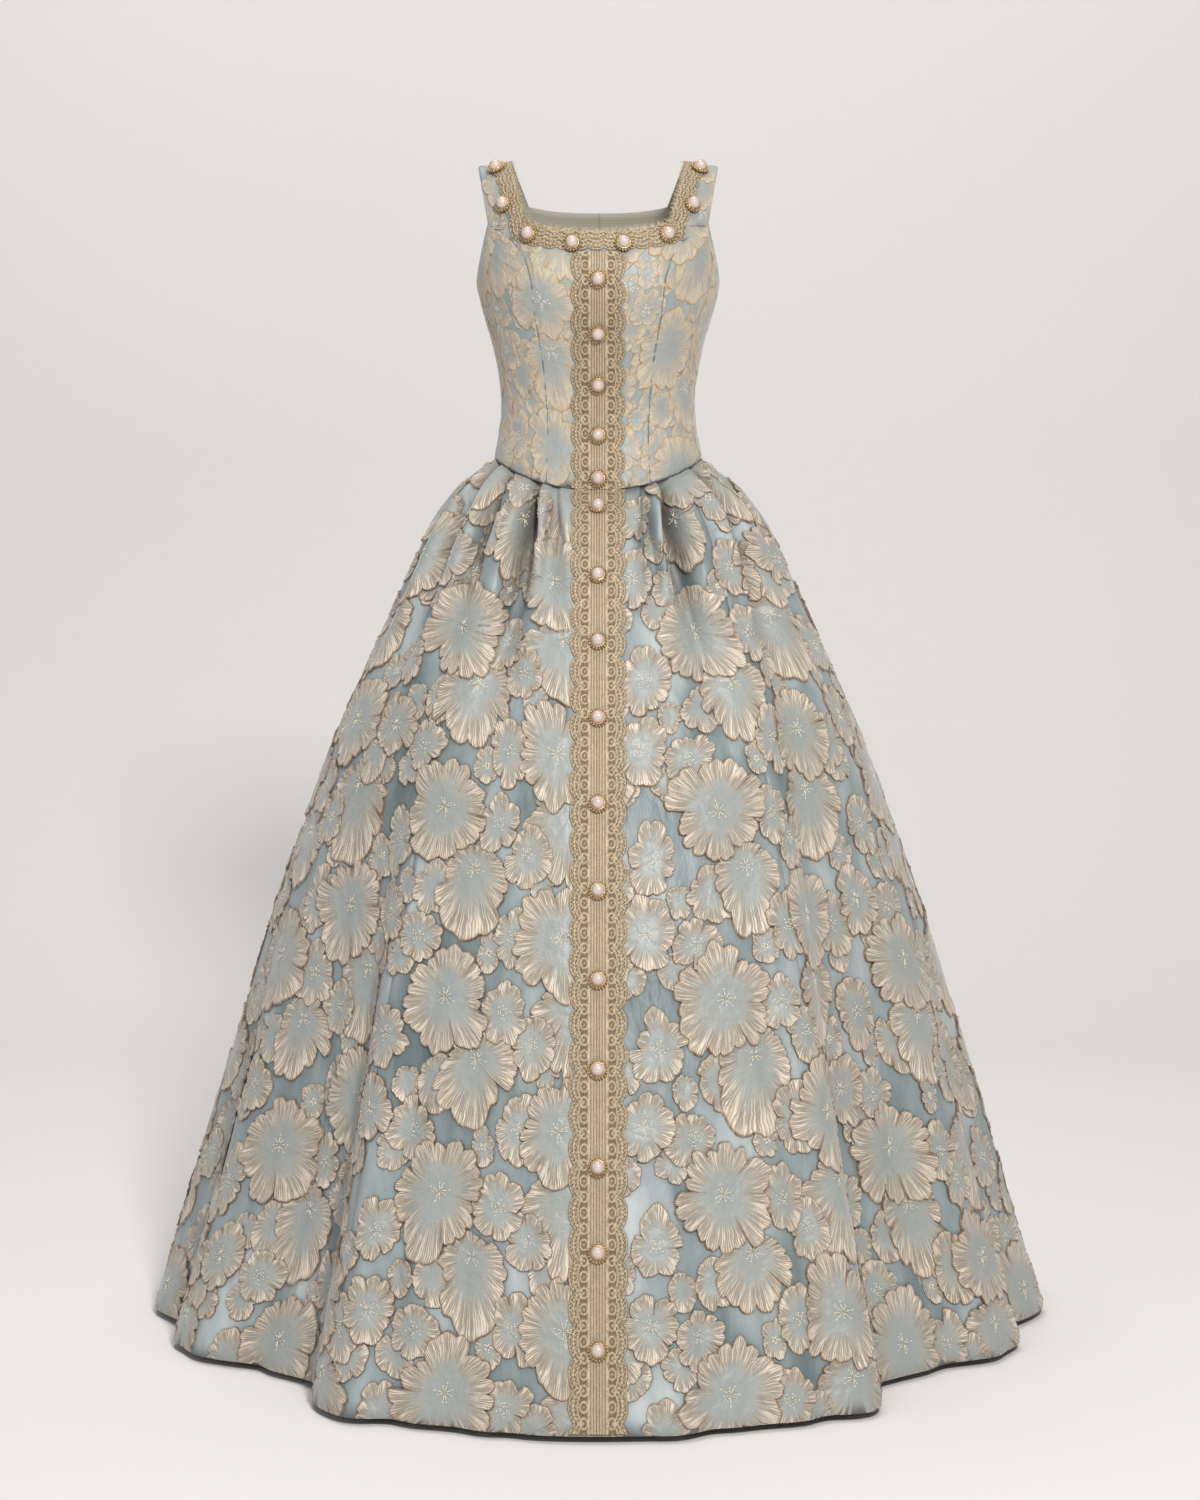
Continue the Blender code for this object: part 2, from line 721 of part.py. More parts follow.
def skirt_band_place(fronts):
    def place(i, x):
        points, normals = fronts[LEFT if x < 0 else RIGHT]
        j = column_at_x(points, i, x)
        point, normal = between(points, i, j), between(normals, i, j)
        if x == 0:
            point.x = 0.0
        return point, normal.normalized()

    return place


def front_at(grid, i, x):
    """Point and normal on the wearer's left front, at fractional row i and this far from the centre."""
    if i > BODY_ROWS:
        grid = [[row[CORNER_COLUMN:] for row in rows[BODY_ROWS:]] for rows in grid]
        i = min(i - BODY_ROWS, STRAP_ROWS)
    j = column_at_x(grid[0], i, x)
    return between(grid[0], i, j), between(grid[1], i, j).normalized()


def row_of(grid, x, height):
    """The fractional row, below the strap, at which the panel has this height."""
    low, high = 0.0, float(BODY_ROWS)
    for _ in range(24):
        middle = (low + high) / 2
        if front_at(grid, middle, x)[0].z < height:
            low = middle
        else:
            high = middle
    return low


def neckline_lace_lines(grid):
    """Where the lace's inner and outer edges lie: pairs of (row, x), from the shoulder to the middle."""
    edge = 0.0006  # how far the lace stays back from the cloth's own edge
    lines = []
    steps = 3 * STRAP_ROWS
    for k in range(steps + 1):
        share = 1 - k / steps
        i = BODY_ROWS + 0.03 + (STRAP_ROWS - 0.06) * share
        inner = min_x(grid, i) + edge
        wide = CORNER_LACE_WIDE + (STRAP_LACE_WIDE - CORNER_LACE_WIDE) * share
        lines.append(((i, inner), (i, inner + wide)))
    corner = lines[-1]
    low_x = CORNER_X + CORNER_LACE_WIDE - 0.004
    for k in range(1, 5):
        share = k / 4
        x = corner[1][1] + (low_x - corner[1][1]) * share
        height = CORNER_FRONT - NECK_LACE_WIDE * share
        inner_i = BODY_ROWS - 0.01 - (BODY_ROWS - row_of(grid, CORNER_X, CORNER_FRONT - edge)) * share
        lines.append(((inner_i, CORNER_X - 0.0002), (row_of(grid, x, height), x)))
    for k in range(1, 15):
        share = 1 - k / 14
        inner = CORNER_X * share
        outer = low_x * share
        top = neckline_height(inner, FRONT) - edge
        low = CORNER_FRONT - NECK_LACE_WIDE - (CORNER_FRONT - NECK_FRONT) * (1 - share**3)
        lines.append(((row_of(grid, inner, top), inner), (row_of(grid, outer, low), outer)))
    return lines


def min_x(grid, i):
    """The strap's inner edge at a fractional row above the neckline's corner."""
    return between([row[CORNER_COLUMN:] for row in grid[0][BODY_ROWS:]], i - BODY_ROWS, 0).x


def neckline_lace(grid, material):
    """One strip of lace, down the inner edge of a strap, along the neckline and up the other."""
    half = []
    for inner, outer in neckline_lace_lines(grid):
        places = []
        for share in (0, 0.2, 0.4, 0.6, 0.8, 1):
            i, x = (a + (b - a) * share for a, b in zip(inner, outer))
            point, normal = front_at(grid, i, x)
            places.append((point + Vector((0, -SEAM_GAP / 2, 0)), normal))
        half.append(places)
    for point, normal in half[-1]:
        point.x = normal.x = 0.0
    flip = Vector((-1, 1, 1))
    other = [[(point * flip, normal * flip) for point, normal in places] for places in half[:-1]]
    lines = other + half[::-1]
    points = [[point for point, _ in line] for line in lines]
    normals = [[normal for _, normal in line] for line in lines]
    return wall("lace_neckline", points, normals, -LACE_THICK, material, lift=NECK_LACE_GAP)


# Pearls


def pearl_mesh():
    """A pearl in its setting, standing on the plane z = 0: a profile spun about its axis."""
    centre = SETTING_HIGH + PEARL_R - PEARL_SUNK
    start = math.asin((SETTING_HIGH - centre) / PEARL_R)
    profile = [(0.0, 0.0), (SETTING_R * 0.6, 0.0), (SETTING_R, SETTING_HIGH * 0.45)]
    profile.append((SETTING_R * 0.94, SETTING_HIGH))
    for k in range(4):
        angle = start + (math.pi / 2 - start) * k / 4
        profile.append((PEARL_R * math.cos(angle), centre + PEARL_R * math.sin(angle)))
    profile.append((0.0, centre + PEARL_R))
    mesh = bmesh.new()
    verts = [mesh.verts.new((r, 0, z)) for r, z in profile]
    edges = [mesh.edges.new(pair) for pair in zip(verts, verts[1:])]
    bmesh.ops.spin(
        mesh,
        geom=verts + edges,
        cent=(0, 0, 0),
        axis=(0, 0, 1),
        angle=2 * math.pi,
        steps=PEARL_SIDES,
        use_merge=True,
    )
    bmesh.ops.remove_doubles(mesh, verts=mesh.verts[:], dist=1e-6)
    bmesh.ops.recalc_face_normals(mesh, faces=mesh.faces[:])
    return mesh


def add_pearl(name, point, normal, material):
    """A pearl standing on the lace at a point of the panel below it."""
    made = add_object(name, pearl_mesh(), material)
    lift = LACE_GAP + LACE_THICK + PEARL_GAP
    turn = normal.to_track_quat("Z", "Y").to_matrix().to_4x4()
    place = point + normal * lift - Vector((0, 0, SHOULDER_HEIGHT))
    made.matrix_world = Matrix.Translation(place) @ turn
    return made


def row_of_height(points, height):
    """The fractional row at which a panel's centre line has this height."""
    heights = [row[0].z if row[0] is not None else None for row in points]
    known = [(z, i) for i, z in enumerate(heights) if z is not None]
    known.sort()
    return float(np.interp(height, [z for z, _ in known], [i for _, i in known]))


def build_pearls(front_grid, fronts, material):
    bodice_place = bodice_band_place(front_grid)
    skirt_place = skirt_band_place(fronts)
    number = 0
    for height in BAND_PEARLS_BODICE:
        number += 1
        place = bodice_place(row_of_height(front_grid[0], height), 0.0)
        add_pearl(f"pearl_front_{number:02d}", *place, material)
    right_points = fronts[RIGHT][0]
    for height in BAND_PEARLS_SKIRT:
        number += 1
        place = skirt_place(row_of_height(right_points, height), 0.0)
        add_pearl(f"pearl_front_{number:02d}", *place, material)
    for hand, word in ((LEFT, "right"), (RIGHT, "left")):
        flip = Vector((hand, 1, 1))
        for k, (x, height) in enumerate(NECK_PEARLS):
            point, normal = front_at(front_grid, row_of(front_grid, x, height), x)
            add_pearl(f"pearl_neck_{word}_{k + 1}", point * flip, normal * flip, material)
        for k, (x, share) in enumerate(STRAP_PEARLS):
            point, normal = front_at(front_grid, BODY_ROWS + share * STRAP_ROWS, x)
            add_pearl(f"pearl_strap_{word}_{k + 1}", point * flip, normal * flip, material)


def make_material(name, look):
    colour, roughness, metallic = look
    made = bpy.data.materials.new(name)
    made.use_nodes = True
    shader = made.node_tree.nodes["Principled BSDF"]
    shader.inputs["Base Color"].default_value = (*colour, 1)
    shader.inputs["Roughness"].default_value = roughness
    shader.inputs["Metallic"].default_value = metallic
    return made


def main():
    for leftover in list(bpy.data.objects):
        bpy.data.objects.remove(leftover)
    satin = make_material("satin brocade", SATIN_BLUE)
    lace = make_material("metallic lace", LACE_ECRU)
    pearl = make_material("pearl", PEARL_WHITE)
    front_grid = build_bodice(satin)
    fronts = build_skirt(satin)
    bodice_place = bodice_band_place(front_grid)
    top_row = row_of(front_grid, BAND_WIDE / 2, NECK_FRONT - NECK_LACE_WIDE - 0.0012)
    bodice_rows = row_steps(front_grid[0], 0.01, top_row, SCALLOP_PITCH / 5)
    band("lace_band_bodice", bodice_rows, bodice_place, lace)
    last_row = len(SKIRT_ROWS) - 1 - HEM_CLEAR / (SHOULDER_HEIGHT * 0.12)
    skirt_rows = row_steps(fronts[RIGHT][0], 0.01, last_row, SCALLOP_PITCH / 5)
    band("lace_band_skirt", skirt_rows, skirt_band_place(fronts), lace)
    neckline_lace(front_grid, lace)
    build_pearls(front_grid, fronts, pearl)


main()
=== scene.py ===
# The overgown's looks: blue-grey cloque brocade with raised flowers, lace bands and pearls.
# Metres. Heights in the tables are taken from the hem, as the pattern was drafted, and everything
# is lowered by shoulderHeight at the end, because the frame's origin is on the shoulder line.
import math

import bmesh
import bpy
import numpy as np
from mathutils import Matrix, Vector


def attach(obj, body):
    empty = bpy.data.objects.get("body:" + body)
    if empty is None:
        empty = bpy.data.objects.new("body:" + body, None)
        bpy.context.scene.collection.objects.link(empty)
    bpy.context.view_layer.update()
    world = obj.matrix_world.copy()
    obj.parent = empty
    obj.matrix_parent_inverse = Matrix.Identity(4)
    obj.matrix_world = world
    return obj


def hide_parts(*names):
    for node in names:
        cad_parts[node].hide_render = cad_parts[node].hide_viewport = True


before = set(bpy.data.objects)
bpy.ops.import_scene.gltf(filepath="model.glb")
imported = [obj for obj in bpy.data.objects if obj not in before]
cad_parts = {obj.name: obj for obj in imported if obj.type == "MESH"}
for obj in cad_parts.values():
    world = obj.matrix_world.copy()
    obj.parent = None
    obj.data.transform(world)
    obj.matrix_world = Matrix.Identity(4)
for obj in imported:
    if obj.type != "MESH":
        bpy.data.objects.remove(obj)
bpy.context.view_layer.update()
scene = bpy.context.scene
shoulderHeight = 1.389
random = np.random.default_rng(11)


# small helpers for colours, nodes and tables

def linearColour(hexCode):
    parts = [int(hexCode[k:k + 2], 16) / 255 for k in (1, 3, 5)]
    return tuple(p / 12.92 if p <= 0.04045 else ((p + 0.055) / 1.055) ** 2.4 for p in parts) + (1.0,)


def addNode(tree, kind, inputs=None, stops=None, **settings):
    node = tree.nodes.new(kind)
    for name, value in settings.items():
        setattr(node, name, value)
    for name, value in (inputs or {}).items():
        if isinstance(value, bpy.types.NodeSocket):
            tree.links.new(value, node.inputs[name])
        else:
            node.inputs[name].default_value = value
    if stops:
        ramp = node.color_ramp
        while len(ramp.elements) < len(stops):
            ramp.elements.new(0.5)
        for element, (place, colour) in zip(ramp.elements, stops):
            element.position = place
            element.color = linearColour(colour)
    return node


def newMaterial(name):
    # the material, its nodes, its shader, and the place on the piece that its patterns read
    material = bpy.data.materials.new(name)
    material.use_nodes = True
    tree = material.node_tree
    place = addNode(tree, "ShaderNodeTexCoord").outputs["Object"]
    return material, tree, tree.nodes["Principled BSDF"], place


def ease(value, low=0.0, high=1.0):
    share = np.clip((value - low) / (high - low), 0, 1)
    return share * share * (3 - 2 * share)


def halving(valueAt, wanted, low, high, rounds):
    # where a value that only grows reaches what is wanted
    for _ in range(rounds):
        middle = (low + high) / 2
        less = valueAt(middle) < wanted
        low, high = np.where(less, middle, low), np.where(less, high, middle)
    return (low + high) / 2


def curveThrough(xs, ys, x):
    # a smooth curve through the table's points
    xs, ys, x = np.asarray(xs, float), np.asarray(ys, float), np.asarray(x, float)
    slopes = np.gradient(ys, xs)
    k = np.clip(np.searchsorted(xs, x) - 1, 0, len(xs) - 2)
    span = xs[k + 1] - xs[k]
    s = np.clip((x - xs[k]) / span, 0, 1)
    rise = ys[k + 1] - ys[k]
    a = slopes[k] * span - rise
    b = rise - slopes[k + 1] * span
    return ys[k] + s * rise + s * (1 - s) * (a * (1 - s) + b * s)


# the pattern's measures
cut = {
    "seamGap": 0.0003,
    "waistGap": 0.0007,
    "waistSide": 1.0305,
    "waistFront": 0.995,
    "waistBack": 1.018,
    "waistPower": 2.2,
    "hemWide": 0.5488,
    "hemFront": 0.550,
    "hemBack": 0.560,
    "neckFront": 1.3007,
    "neckBack": 1.333,
    "cornerX": 0.0855,
    "cornerFront": 1.3133,
    "cornerBack": 1.340,
    "strapInX": 0.104,
    "strapOutX": 0.145,
    "shoulderSlope": 0.13,
    "notchX": 0.131,
    "notchFront": 1.3122,
    "notchBack": 1.300,
    "underarm": 1.240,
    "armholeBow": 0.018,
    "squareness": 0.90,
}

# height, half width, depth to the front, depth to the back
bodiceRows = np.array([
    (0.960, 0.1400, 0.114, 0.112),
    (0.995, 0.1310, 0.104, 0.100),
    (1.0305, 0.1256, 0.097, 0.090),
    (1.060, 0.1200, 0.091, 0.084),
    (1.094, 0.1165, 0.089, 0.081),
    (1.130, 0.1195, 0.095, 0.085),
    (1.170, 0.1275, 0.106, 0.092),
    (1.210, 0.1390, 0.117, 0.099),
    (1.245, 0.1476, 0.121, 0.104),
    (1.280, 0.1500, 0.117, 0.108),
    (1.3133, 0.1510, 0.108, 0.107),
    (1.343, 0.1520, 0.090, 0.095),
    (1.368, 0.1525, 0.062, 0.069),
    (1.383, 0.1530, 0.032, 0.036),
    (1.389, 0.1530, 0.000, 0.000),
    (1.383, 0.1530, -0.032, -0.036),  # past the top, so that the shoulder is round
])
topRow = len(bodiceRows) - 2

# height, distance from the centre line
seamTables = {
    "front": [(0.960, 0.0640), (1.023, 0.0608), (1.073, 0.0598), (1.111, 0.0623), (1.150, 0.0661),
              (1.204, 0.0751), (1.250, 0.0811), (1.275, 0.0900), (1.295, 0.1073), (1.3122, 0.131)],
    "back": [(0.960, 0.0600), (1.040, 0.0540), (1.094, 0.0540), (1.170, 0.0680), (1.230, 0.0860),
             (1.270, 0.1060), (1.300, 0.131)],
}

# share of the way down, share of the hem's spread
flareTable = [(0.00, 0.000), (0.02, 0.060), (0.07, 0.164), (0.12, 0.229), (0.20, 0.325), (0.31, 0.443),
              (0.41, 0.533), (0.52, 0.630), (0.64, 0.725), (0.76, 0.819), (0.88, 0.911), (1.00, 1.000)]

# angle from the front at the waist, and where that line of the cloth reaches the hem
spreadTable = [(0, 0), (15.5, 3.45), (22, 11), (34, 23), (56, 41), (70, 56), (90, 82),
               (118, 112), (150, 147), (180, 180)]

# knife pleats: angle at the waist, depth, half width in degrees, share of the length where it has
# opened, and 1 if the fold lies over the recess from the wearer's right, -1 if from the left. In
# the look, edgeAt and edgeWide are in half widths, and stands and laps are shares of the depth.
pleatLook = {"recessIn": 0.25, "recessOut": 0.45, "crisp": 2.2, "stands": 0.24, "laps": 0.20,
             "edgeAt": 1.5, "edgeWide": 1.15}
pleatTable = [
    (-166, 0.020, 3.0, 0.34, 1), (-146, 0.024, 3.2, 0.44, 1), (-127, 0.022, 3.2, 0.38, 1),
    (-108, 0.024, 3.2, 0.42, 1), (-91, 0.020, 3.2, 0.36, 1), (-72, 0.028, 3.2, 0.42, 1),
    (-54, 0.024, 2.8, 0.30, 1), (-34, 0.030, 3.0, 0.40, 1), (-22, 0.014, 2.4, 0.24, 1),
    (24, 0.016, 2.4, 0.26, -1), (36, 0.030, 3.0, 0.38, -1), (61, 0.030, 3.2, 0.44, 1),
    (80, 0.022, 3.0, 0.34, 1), (100, 0.024, 3.2, 0.40, 1), (119, 0.022, 3.2, 0.38, 1),
    (138, 0.024, 3.2, 0.42, 1), (158, 0.020, 3.0, 0.34, 1),
]

# flutes: angle at the hem, depth, half widths towards the front and away, share where it starts
fluteTable = [
    (-154, 0.045, 9, 9, 0.30), (-118, 0.060, 8, 14, 0.25), (-76, 0.040, 4, 8, 0.40),
    (-43.5, 0.076, 6.3, 21, 0.22), (-17, 0.012, 6, 7, 0.35), (19, 0.012, 7, 6, 0.40),
    (43, 0.076, 6.3, 21, 0.24), (75, 0.040, 4, 8, 0.40), (116, 0.060, 8, 14, 0.25),
    (152, 0.045, 9, 9, 0.30),
]

# soft creases: angle at the hem, depth (a minus is a ridge), half width in degrees,
# and the shares of the length where it starts and is deepest; grown makes them all deeper, and
# each sways to the side by so many degrees on its way down
creaseLook = {"grown": 1.7, "sway": 1.5, "swayTurns": 7}
creaseTable = [
    (-9.5, 0.0030, 2.2, 0.42, 0.86), (-13.0, -0.0030, 2.6, 0.30, 0.74), (-25.5, 0.0060, 2.4, 0.25, 0.80),
    (-31.0, -0.0035, 2.8, 0.35, 0.95), (-54.0, 0.0060, 2.6, 0.30, 0.80), (-63.0, -0.0050, 3.0, 0.40, 0.90),
    (-92.0, 0.0080, 3.5, 0.20, 0.75), (-103.0, -0.0050, 4.0, 0.30, 0.90), (-133.0, 0.0070, 3.0, 0.25, 0.80),
    (-143.0, -0.0050, 3.5, 0.40, 0.85), (-167.0, 0.0060, 3.0, 0.20, 0.70),
    (8.5, -0.0028, 2.4, 0.30, 0.70), (12.5, 0.0035, 2.0, 0.45, 0.90), (26.5, 0.0065, 2.4, 0.22, 0.85),
    (32.5, -0.0040, 2.6, 0.40, 0.90), (55.5, 0.0055, 2.8, 0.35, 0.75), (62.0, -0.0045, 2.6, 0.30, 0.95),
    (93.0, 0.0080, 3.5, 0.25, 0.80), (105.0, -0.0050, 3.8, 0.35, 0.85), (131.0, 0.0070, 3.2, 0.20, 0.75),
    (142.0, -0.0045, 3.4, 0.30, 0.90), (168.0, 0.0060, 3.0, 0.25, 0.80), (178.0, -0.0040, 4.0, 0.40, 0.90),
]


# the worn form, worked out for whole arrays of points

def section(row):
    return [curveThrough(np.arange(len(bodiceRows)), bodiceRows[:, k], row) for k in range(4)]


fineRows = np.linspace(0, topRow, 1200)
fineHeights = section(fineRows)[0]


def rowAtHeight(height):
    return np.interp(height, fineHeights, fineRows)


def signedPower(value, power):
    return np.sign(value) * np.abs(value) ** power


bust = {"x": 0.066, "height": 1.232, "out": 0.009, "bridge": 0.6, "wide": 0.042, "high": 0.046}


def bustOut(x, height):
    # fuller over the bust, and level between its two sides
    across = np.exp(-(((np.abs(x) - bust["x"]) / bust["wide"]) ** 2))
    across = np.where(np.abs(x) < bust["x"], bust["bridge"] + (1 - bust["bridge"]) * across, across)
    return bust["out"] * across * np.exp(-(((height - bust["height"]) / bust["high"]) ** 2))


def bodicePoint(x, row, face):
    height, wide, front, back = section(row)
    across = np.minimum(np.abs(x) / wide, 1.0) ** (1 / cut["squareness"])
    forward = np.sqrt(np.maximum(1 - across * across, 0)) ** cut["squareness"]
    y = -(front + bustOut(x, height)) * forward if face == "front" else back * forward
    over = np.maximum(0, (height - cut["cornerFront"]) / (shoulderHeight - cut["cornerFront"]))
    z = height - over * cut["shoulderSlope"] * np.maximum(0, np.abs(x) - cut["strapInX"])
    return np.stack(np.broadcast_arrays(x, y, z), -1)


def bodiceNormals(x, row, face):
    # outwards, from points a little to each side in metres and a little up and down in rows
    side, up = 0.0008, 0.02
    ahead = bodicePoint(x + side, row, face) - bodicePoint(x - side, row, face)
    above = bodicePoint(x, row + up, face) - bodicePoint(x, np.maximum(row - up, 0), face)
    normals = np.cross(ahead, above) * (1 if face == "front" else -1)
    return normals / np.linalg.norm(normals, axis=-1, keepdims=True)


def bodiceRound(angle, row):
    # the same surface, by the angle from the front
    height, wide, front, back = section(row)
    turn = np.radians(angle)
    x = wide * signedPower(np.sin(turn), cut["squareness"])
    forward = signedPower(np.cos(turn), cut["squareness"])
    y = np.where(forward > 0, -forward * (front + bustOut(x, height)), -forward * back)
    return np.stack(np.broadcast_arrays(x, y, height), -1)


def waistHeight(angle):
    sine = np.abs(np.sin(np.radians(angle))) ** cut["squareness"]
    lowest = np.where(np.abs(angle) < 90, cut["waistFront"], cut["waistBack"])
    return cut["waistSide"] - (cut["waistSide"] - lowest) * (1 - sine ** cut["waistPower"])


def waistLine(face):
    angles = np.linspace(0, 90, 181)
    heights = waistHeight(angles if face == "front" else 180 - angles)
    xs = np.sin(np.radians(angles)) ** cut["squareness"] * section(rowAtHeight(heights))[1]
    return xs, heights


waistLines = {face: waistLine(face) for face in ("front", "back")}


def seamX(height, face):
    table = np.array(seamTables[face])
    return curveThrough(table[:, 0], table[:, 1], height)


def seamHeight(share, face):
    height = cut["waistSide"]
    for _ in range(8):
        height = np.interp(seamX(height, face), *waistLines[face])
    foot = height + cut["waistGap"] / 2
    return foot + (cut["notch" + face.title()] - foot) * share


def armholeHeight(across, face):
    notch = cut["notch" + face.title()]
    return notch + (cut["underarm"] - notch) * across - cut["armholeBow"] * np.sin(np.pi * across)


def strapEdges(risen):
    # how far the strap's two edges are from the centre line, by the share of the way up it
    inner = cut["cornerX"] + (cut["strapInX"] - cut["cornerX"]) * risen
    outer = cut["notchX"] + (cut["strapOutX"] - cut["notchX"]) * risen
    return inner, outer


def necklineHeight(x, face):
    corner, notch = cut["corner" + face.title()], cut["notch" + face.title()]
    slant = corner + (notch - corner) * (x - cut["cornerX"]) / (cut["notchX"] - cut["cornerX"])
    curve = corner - (corner - cut["neck" + face.title()]) * (1 - np.minimum(x / cut["cornerX"], 1) ** 3)
    return np.where(x > cut["cornerX"], slant, curve)


def hemAngle(waistAngle):
    table = np.array(spreadTable)
    return np.sign(waistAngle) * np.interp(np.abs(waistAngle), table[:, 0], table[:, 1])


def wrapped(angle):
    return (angle + 180) % 360 - 180


def skirtPoint(angle, down):
    # down runs from 0 at the waist seam to 1 at the hem
    angle, down = np.broadcast_arrays(np.asarray(angle, float), np.asarray(down, float))
    seam = waistHeight(angle)
    top = bodiceRound(angle, rowAtHeight(seam))
    turned = hemAngle(angle)
    turn = np.radians(turned)
    deep = np.where(np.abs(turned) < 90, cut["hemFront"], cut["hemBack"])
    flare = np.array(flareTable)
    out = curveThrough(flare[:, 0], flare[:, 1], down)
    # from the waist's round to the hem's
    x = top[..., 0] * (1 - out) + out * cut["hemWide"] * np.sin(turn)
    y = top[..., 1] * (1 - out) - out * deep * np.cos(turn)
    inset, sideways = np.zeros(angle.shape), np.zeros(angle.shape)
    for place, depth, half, length, lies in pleatTable:
        gone = down / length
        # steep below the fold's edge, and easing out on the recess's other side
        side = wrapped(angle - place) * lies
        crisp = 1 - ease(down, 0.05, 0.34)
        lean = np.where(side < 0, 1 - pleatLook["recessIn"] * crisp, 1 + pleatLook["recessOut"] * crisp)
        away = np.abs(side) / (half * lean * (1 + 0.45 * ease(down, 0, 0.06) + 0.6 * gone))
        grown = (0.5 + 1.0 * ease(down, 0, 0.05) - 0.4 * ease(down, 0.14, 0.34)) * (1 - ease(gone))
        # a crisp fold at the seam, a soft one below
        sharp = 2 + pleatLook["crisp"] * (1 - ease(gone, 0.1, 0.7))
        inset += depth * grown * np.exp(-np.minimum(away, 6) ** sharp)
        # the fold's edge stands out a little and lies over the recess
        edge = np.exp(-((side + pleatLook["edgeAt"] * half) / (pleatLook["edgeWide"] * half)) ** 2)
        edge = edge * ease(down, 0, 0.04)
        inset -= pleatLook["stands"] * depth * edge * (1 - ease(gone, 0.1, 0.8))
        sideways += lies * pleatLook["laps"] * depth * edge * (1 - ease(down, 0.08, 0.30))
    for place, depth, near, far, starts in fluteTable:
        away = wrapped(turned - place)
        near, far = (far, near) if place < 0 else (near, far)
        wide = np.where(away < 0, near, far)
        grown = ease(down, starts - 0.08, 0.9) if depth > 0.07 else ease(down, starts, 1)
        inset += depth * grown * np.exp(-((away / wide) ** 2))
    for place, depth, half, starts, deepest in creaseTable:
        away = wrapped(turned - place - creaseLook["sway"] * np.sin(creaseLook["swayTurns"] * down + place))
        inset += creaseLook["grown"] * depth * ease(down, starts, deepest) * np.exp(-((away / half) ** 2))
    reach = np.hypot(x, y)
    x, y = (x * (1 - inset / reach) - sideways * y / reach, y * (1 - inset / reach) + sideways * x / reach)
    return np.stack([x, y, (seam - cut["waistGap"] / 2) * (1 - down)], -1)


def normalsOf(points):
    along = np.gradient(points, axis=1)
    up = np.gradient(points, axis=0)
    normals = np.cross(along, up)
    long = np.linalg.norm(normals, axis=-1, keepdims=True)
    return normals / np.maximum(long, 1e-12)


def fineGrid(points, rise):
    # a grid whose rows run down, lengths along its rows and columns, and how high its flowers rise
    steps = np.linalg.norm(np.diff(points, axis=1), axis=-1)
    falls = np.linalg.norm(np.diff(points, axis=0), axis=-1)
    across = np.concatenate([np.zeros((len(points), 1)), np.cumsum(steps, axis=1)], axis=1)
    down = np.concatenate([np.zeros((1, points.shape[1])), np.cumsum(falls, axis=0)], axis=0)
    return {"points": points, "normals": -normalsOf(points), "across": across, "down": down, "rise": rise}


def lookUp(values, i, j):
    # the grid's values between its points
    i = np.clip(i, 0, values.shape[0] - 1.0001)
    j = np.clip(j, 0, values.shape[1] - 1.0001)
    i0, j0 = i.astype(int), j.astype(int)
    s, t = i - i0, j - j0
    if values.ndim == 3:
        s, t = s[..., None], t[..., None]
    low = values[i0, j0] * (1 - t) + values[i0, j0 + 1] * t
    high = values[i0 + 1, j0] * (1 - t) + values[i0 + 1, j0 + 1] * t
    return low * (1 - s) + high * s


# making the pieces

def makePiece(name, vertices, faces, materials, faceMaterials=None, smooth=True):
    mesh = bpy.data.meshes.new(name)
    vertices = np.asarray(vertices, float) - (0, 0, shoulderHeight)
    mesh.from_pydata(vertices.tolist(), [], faces)
    for material in materials:
        mesh.materials.append(material)
    if faceMaterials is not None:
        mesh.polygons.foreach_set("material_index", np.asarray(faceMaterials, np.int32))
    mesh.polygons.foreach_set("use_smooth", np.full(len(faces), smooth))
    mesh.update()
    piece = bpy.data.objects.new(name, mesh)
    scene.collection.objects.link(piece)
    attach(piece, "root")
    return piece


def cornerValues(piece, name, values):
    # a UV map from one pair of values for each vertex
    layer = piece.data.uv_layers.new(name=name)
    corners = np.empty(len(piece.data.loops), np.int32)
    piece.data.loops.foreach_get("vertex_index", corners)
    layer.data.foreach_set("uv", np.asarray(values, np.float32)[corners].ravel())


def gridFaces(rows, columns, start=0, flip=False):
    i, j = np.meshgrid(np.arange(rows - 1), np.arange(columns - 1), indexing="ij")
    a = (start + i * columns + j).ravel()
    quad = np.stack([a, a + 1, a + columns + 1, a + columns], 1)
    return (quad[:, ::-1] if flip else quad).tolist()


def shell(name, points, normals, thick, outside, inside, keep=None):
    # a closed thin wall: the outer points, the same points moved in, and a rim round the edge
    rows, columns = points.shape[:2]
    outer = points.reshape(-1, 3)
    inner = (points - normals * thick).reshape(-1, 3)
    count = len(outer)
    quads = np.array(gridFaces(rows, columns))
    if keep is not None:
        quads = quads[keep.ravel()[quads].all(axis=1)]
    facing = np.cross(outer[quads[0][1]] - outer[quads[0][0]], outer[quads[0][3]] - outer[quads[0][0]])
    if facing @ normals.reshape(-1, 3)[quads[0][0]] < 0:
        quads = quads[:, ::-1]
    starts, ends = quads.ravel(), np.roll(quads, -1, axis=1).ravel()
    pairs = set(zip(starts.tolist(), ends.tolist()))
    rim = [[b, a, a + count, b + count] for a, b in pairs if (b, a) not in pairs]
    faces = quads.tolist() + (quads[:, ::-1] + count).tolist() + rim
    used = np.unique(np.array(quads).ravel())
    used = np.concatenate([used, used + count])
    renumber = np.full(2 * count, -1)
    renumber[used] = np.arange(len(used))
    faces = [[int(renumber[k]) for k in face] for face in faces]
    kinds = [0] * len(quads) + [1] * len(quads) + [0] * len(rim)
    vertices = np.concatenate([outer, inner])[used]
    return makePiece(name, vertices, faces, [outside, inside], kinds)


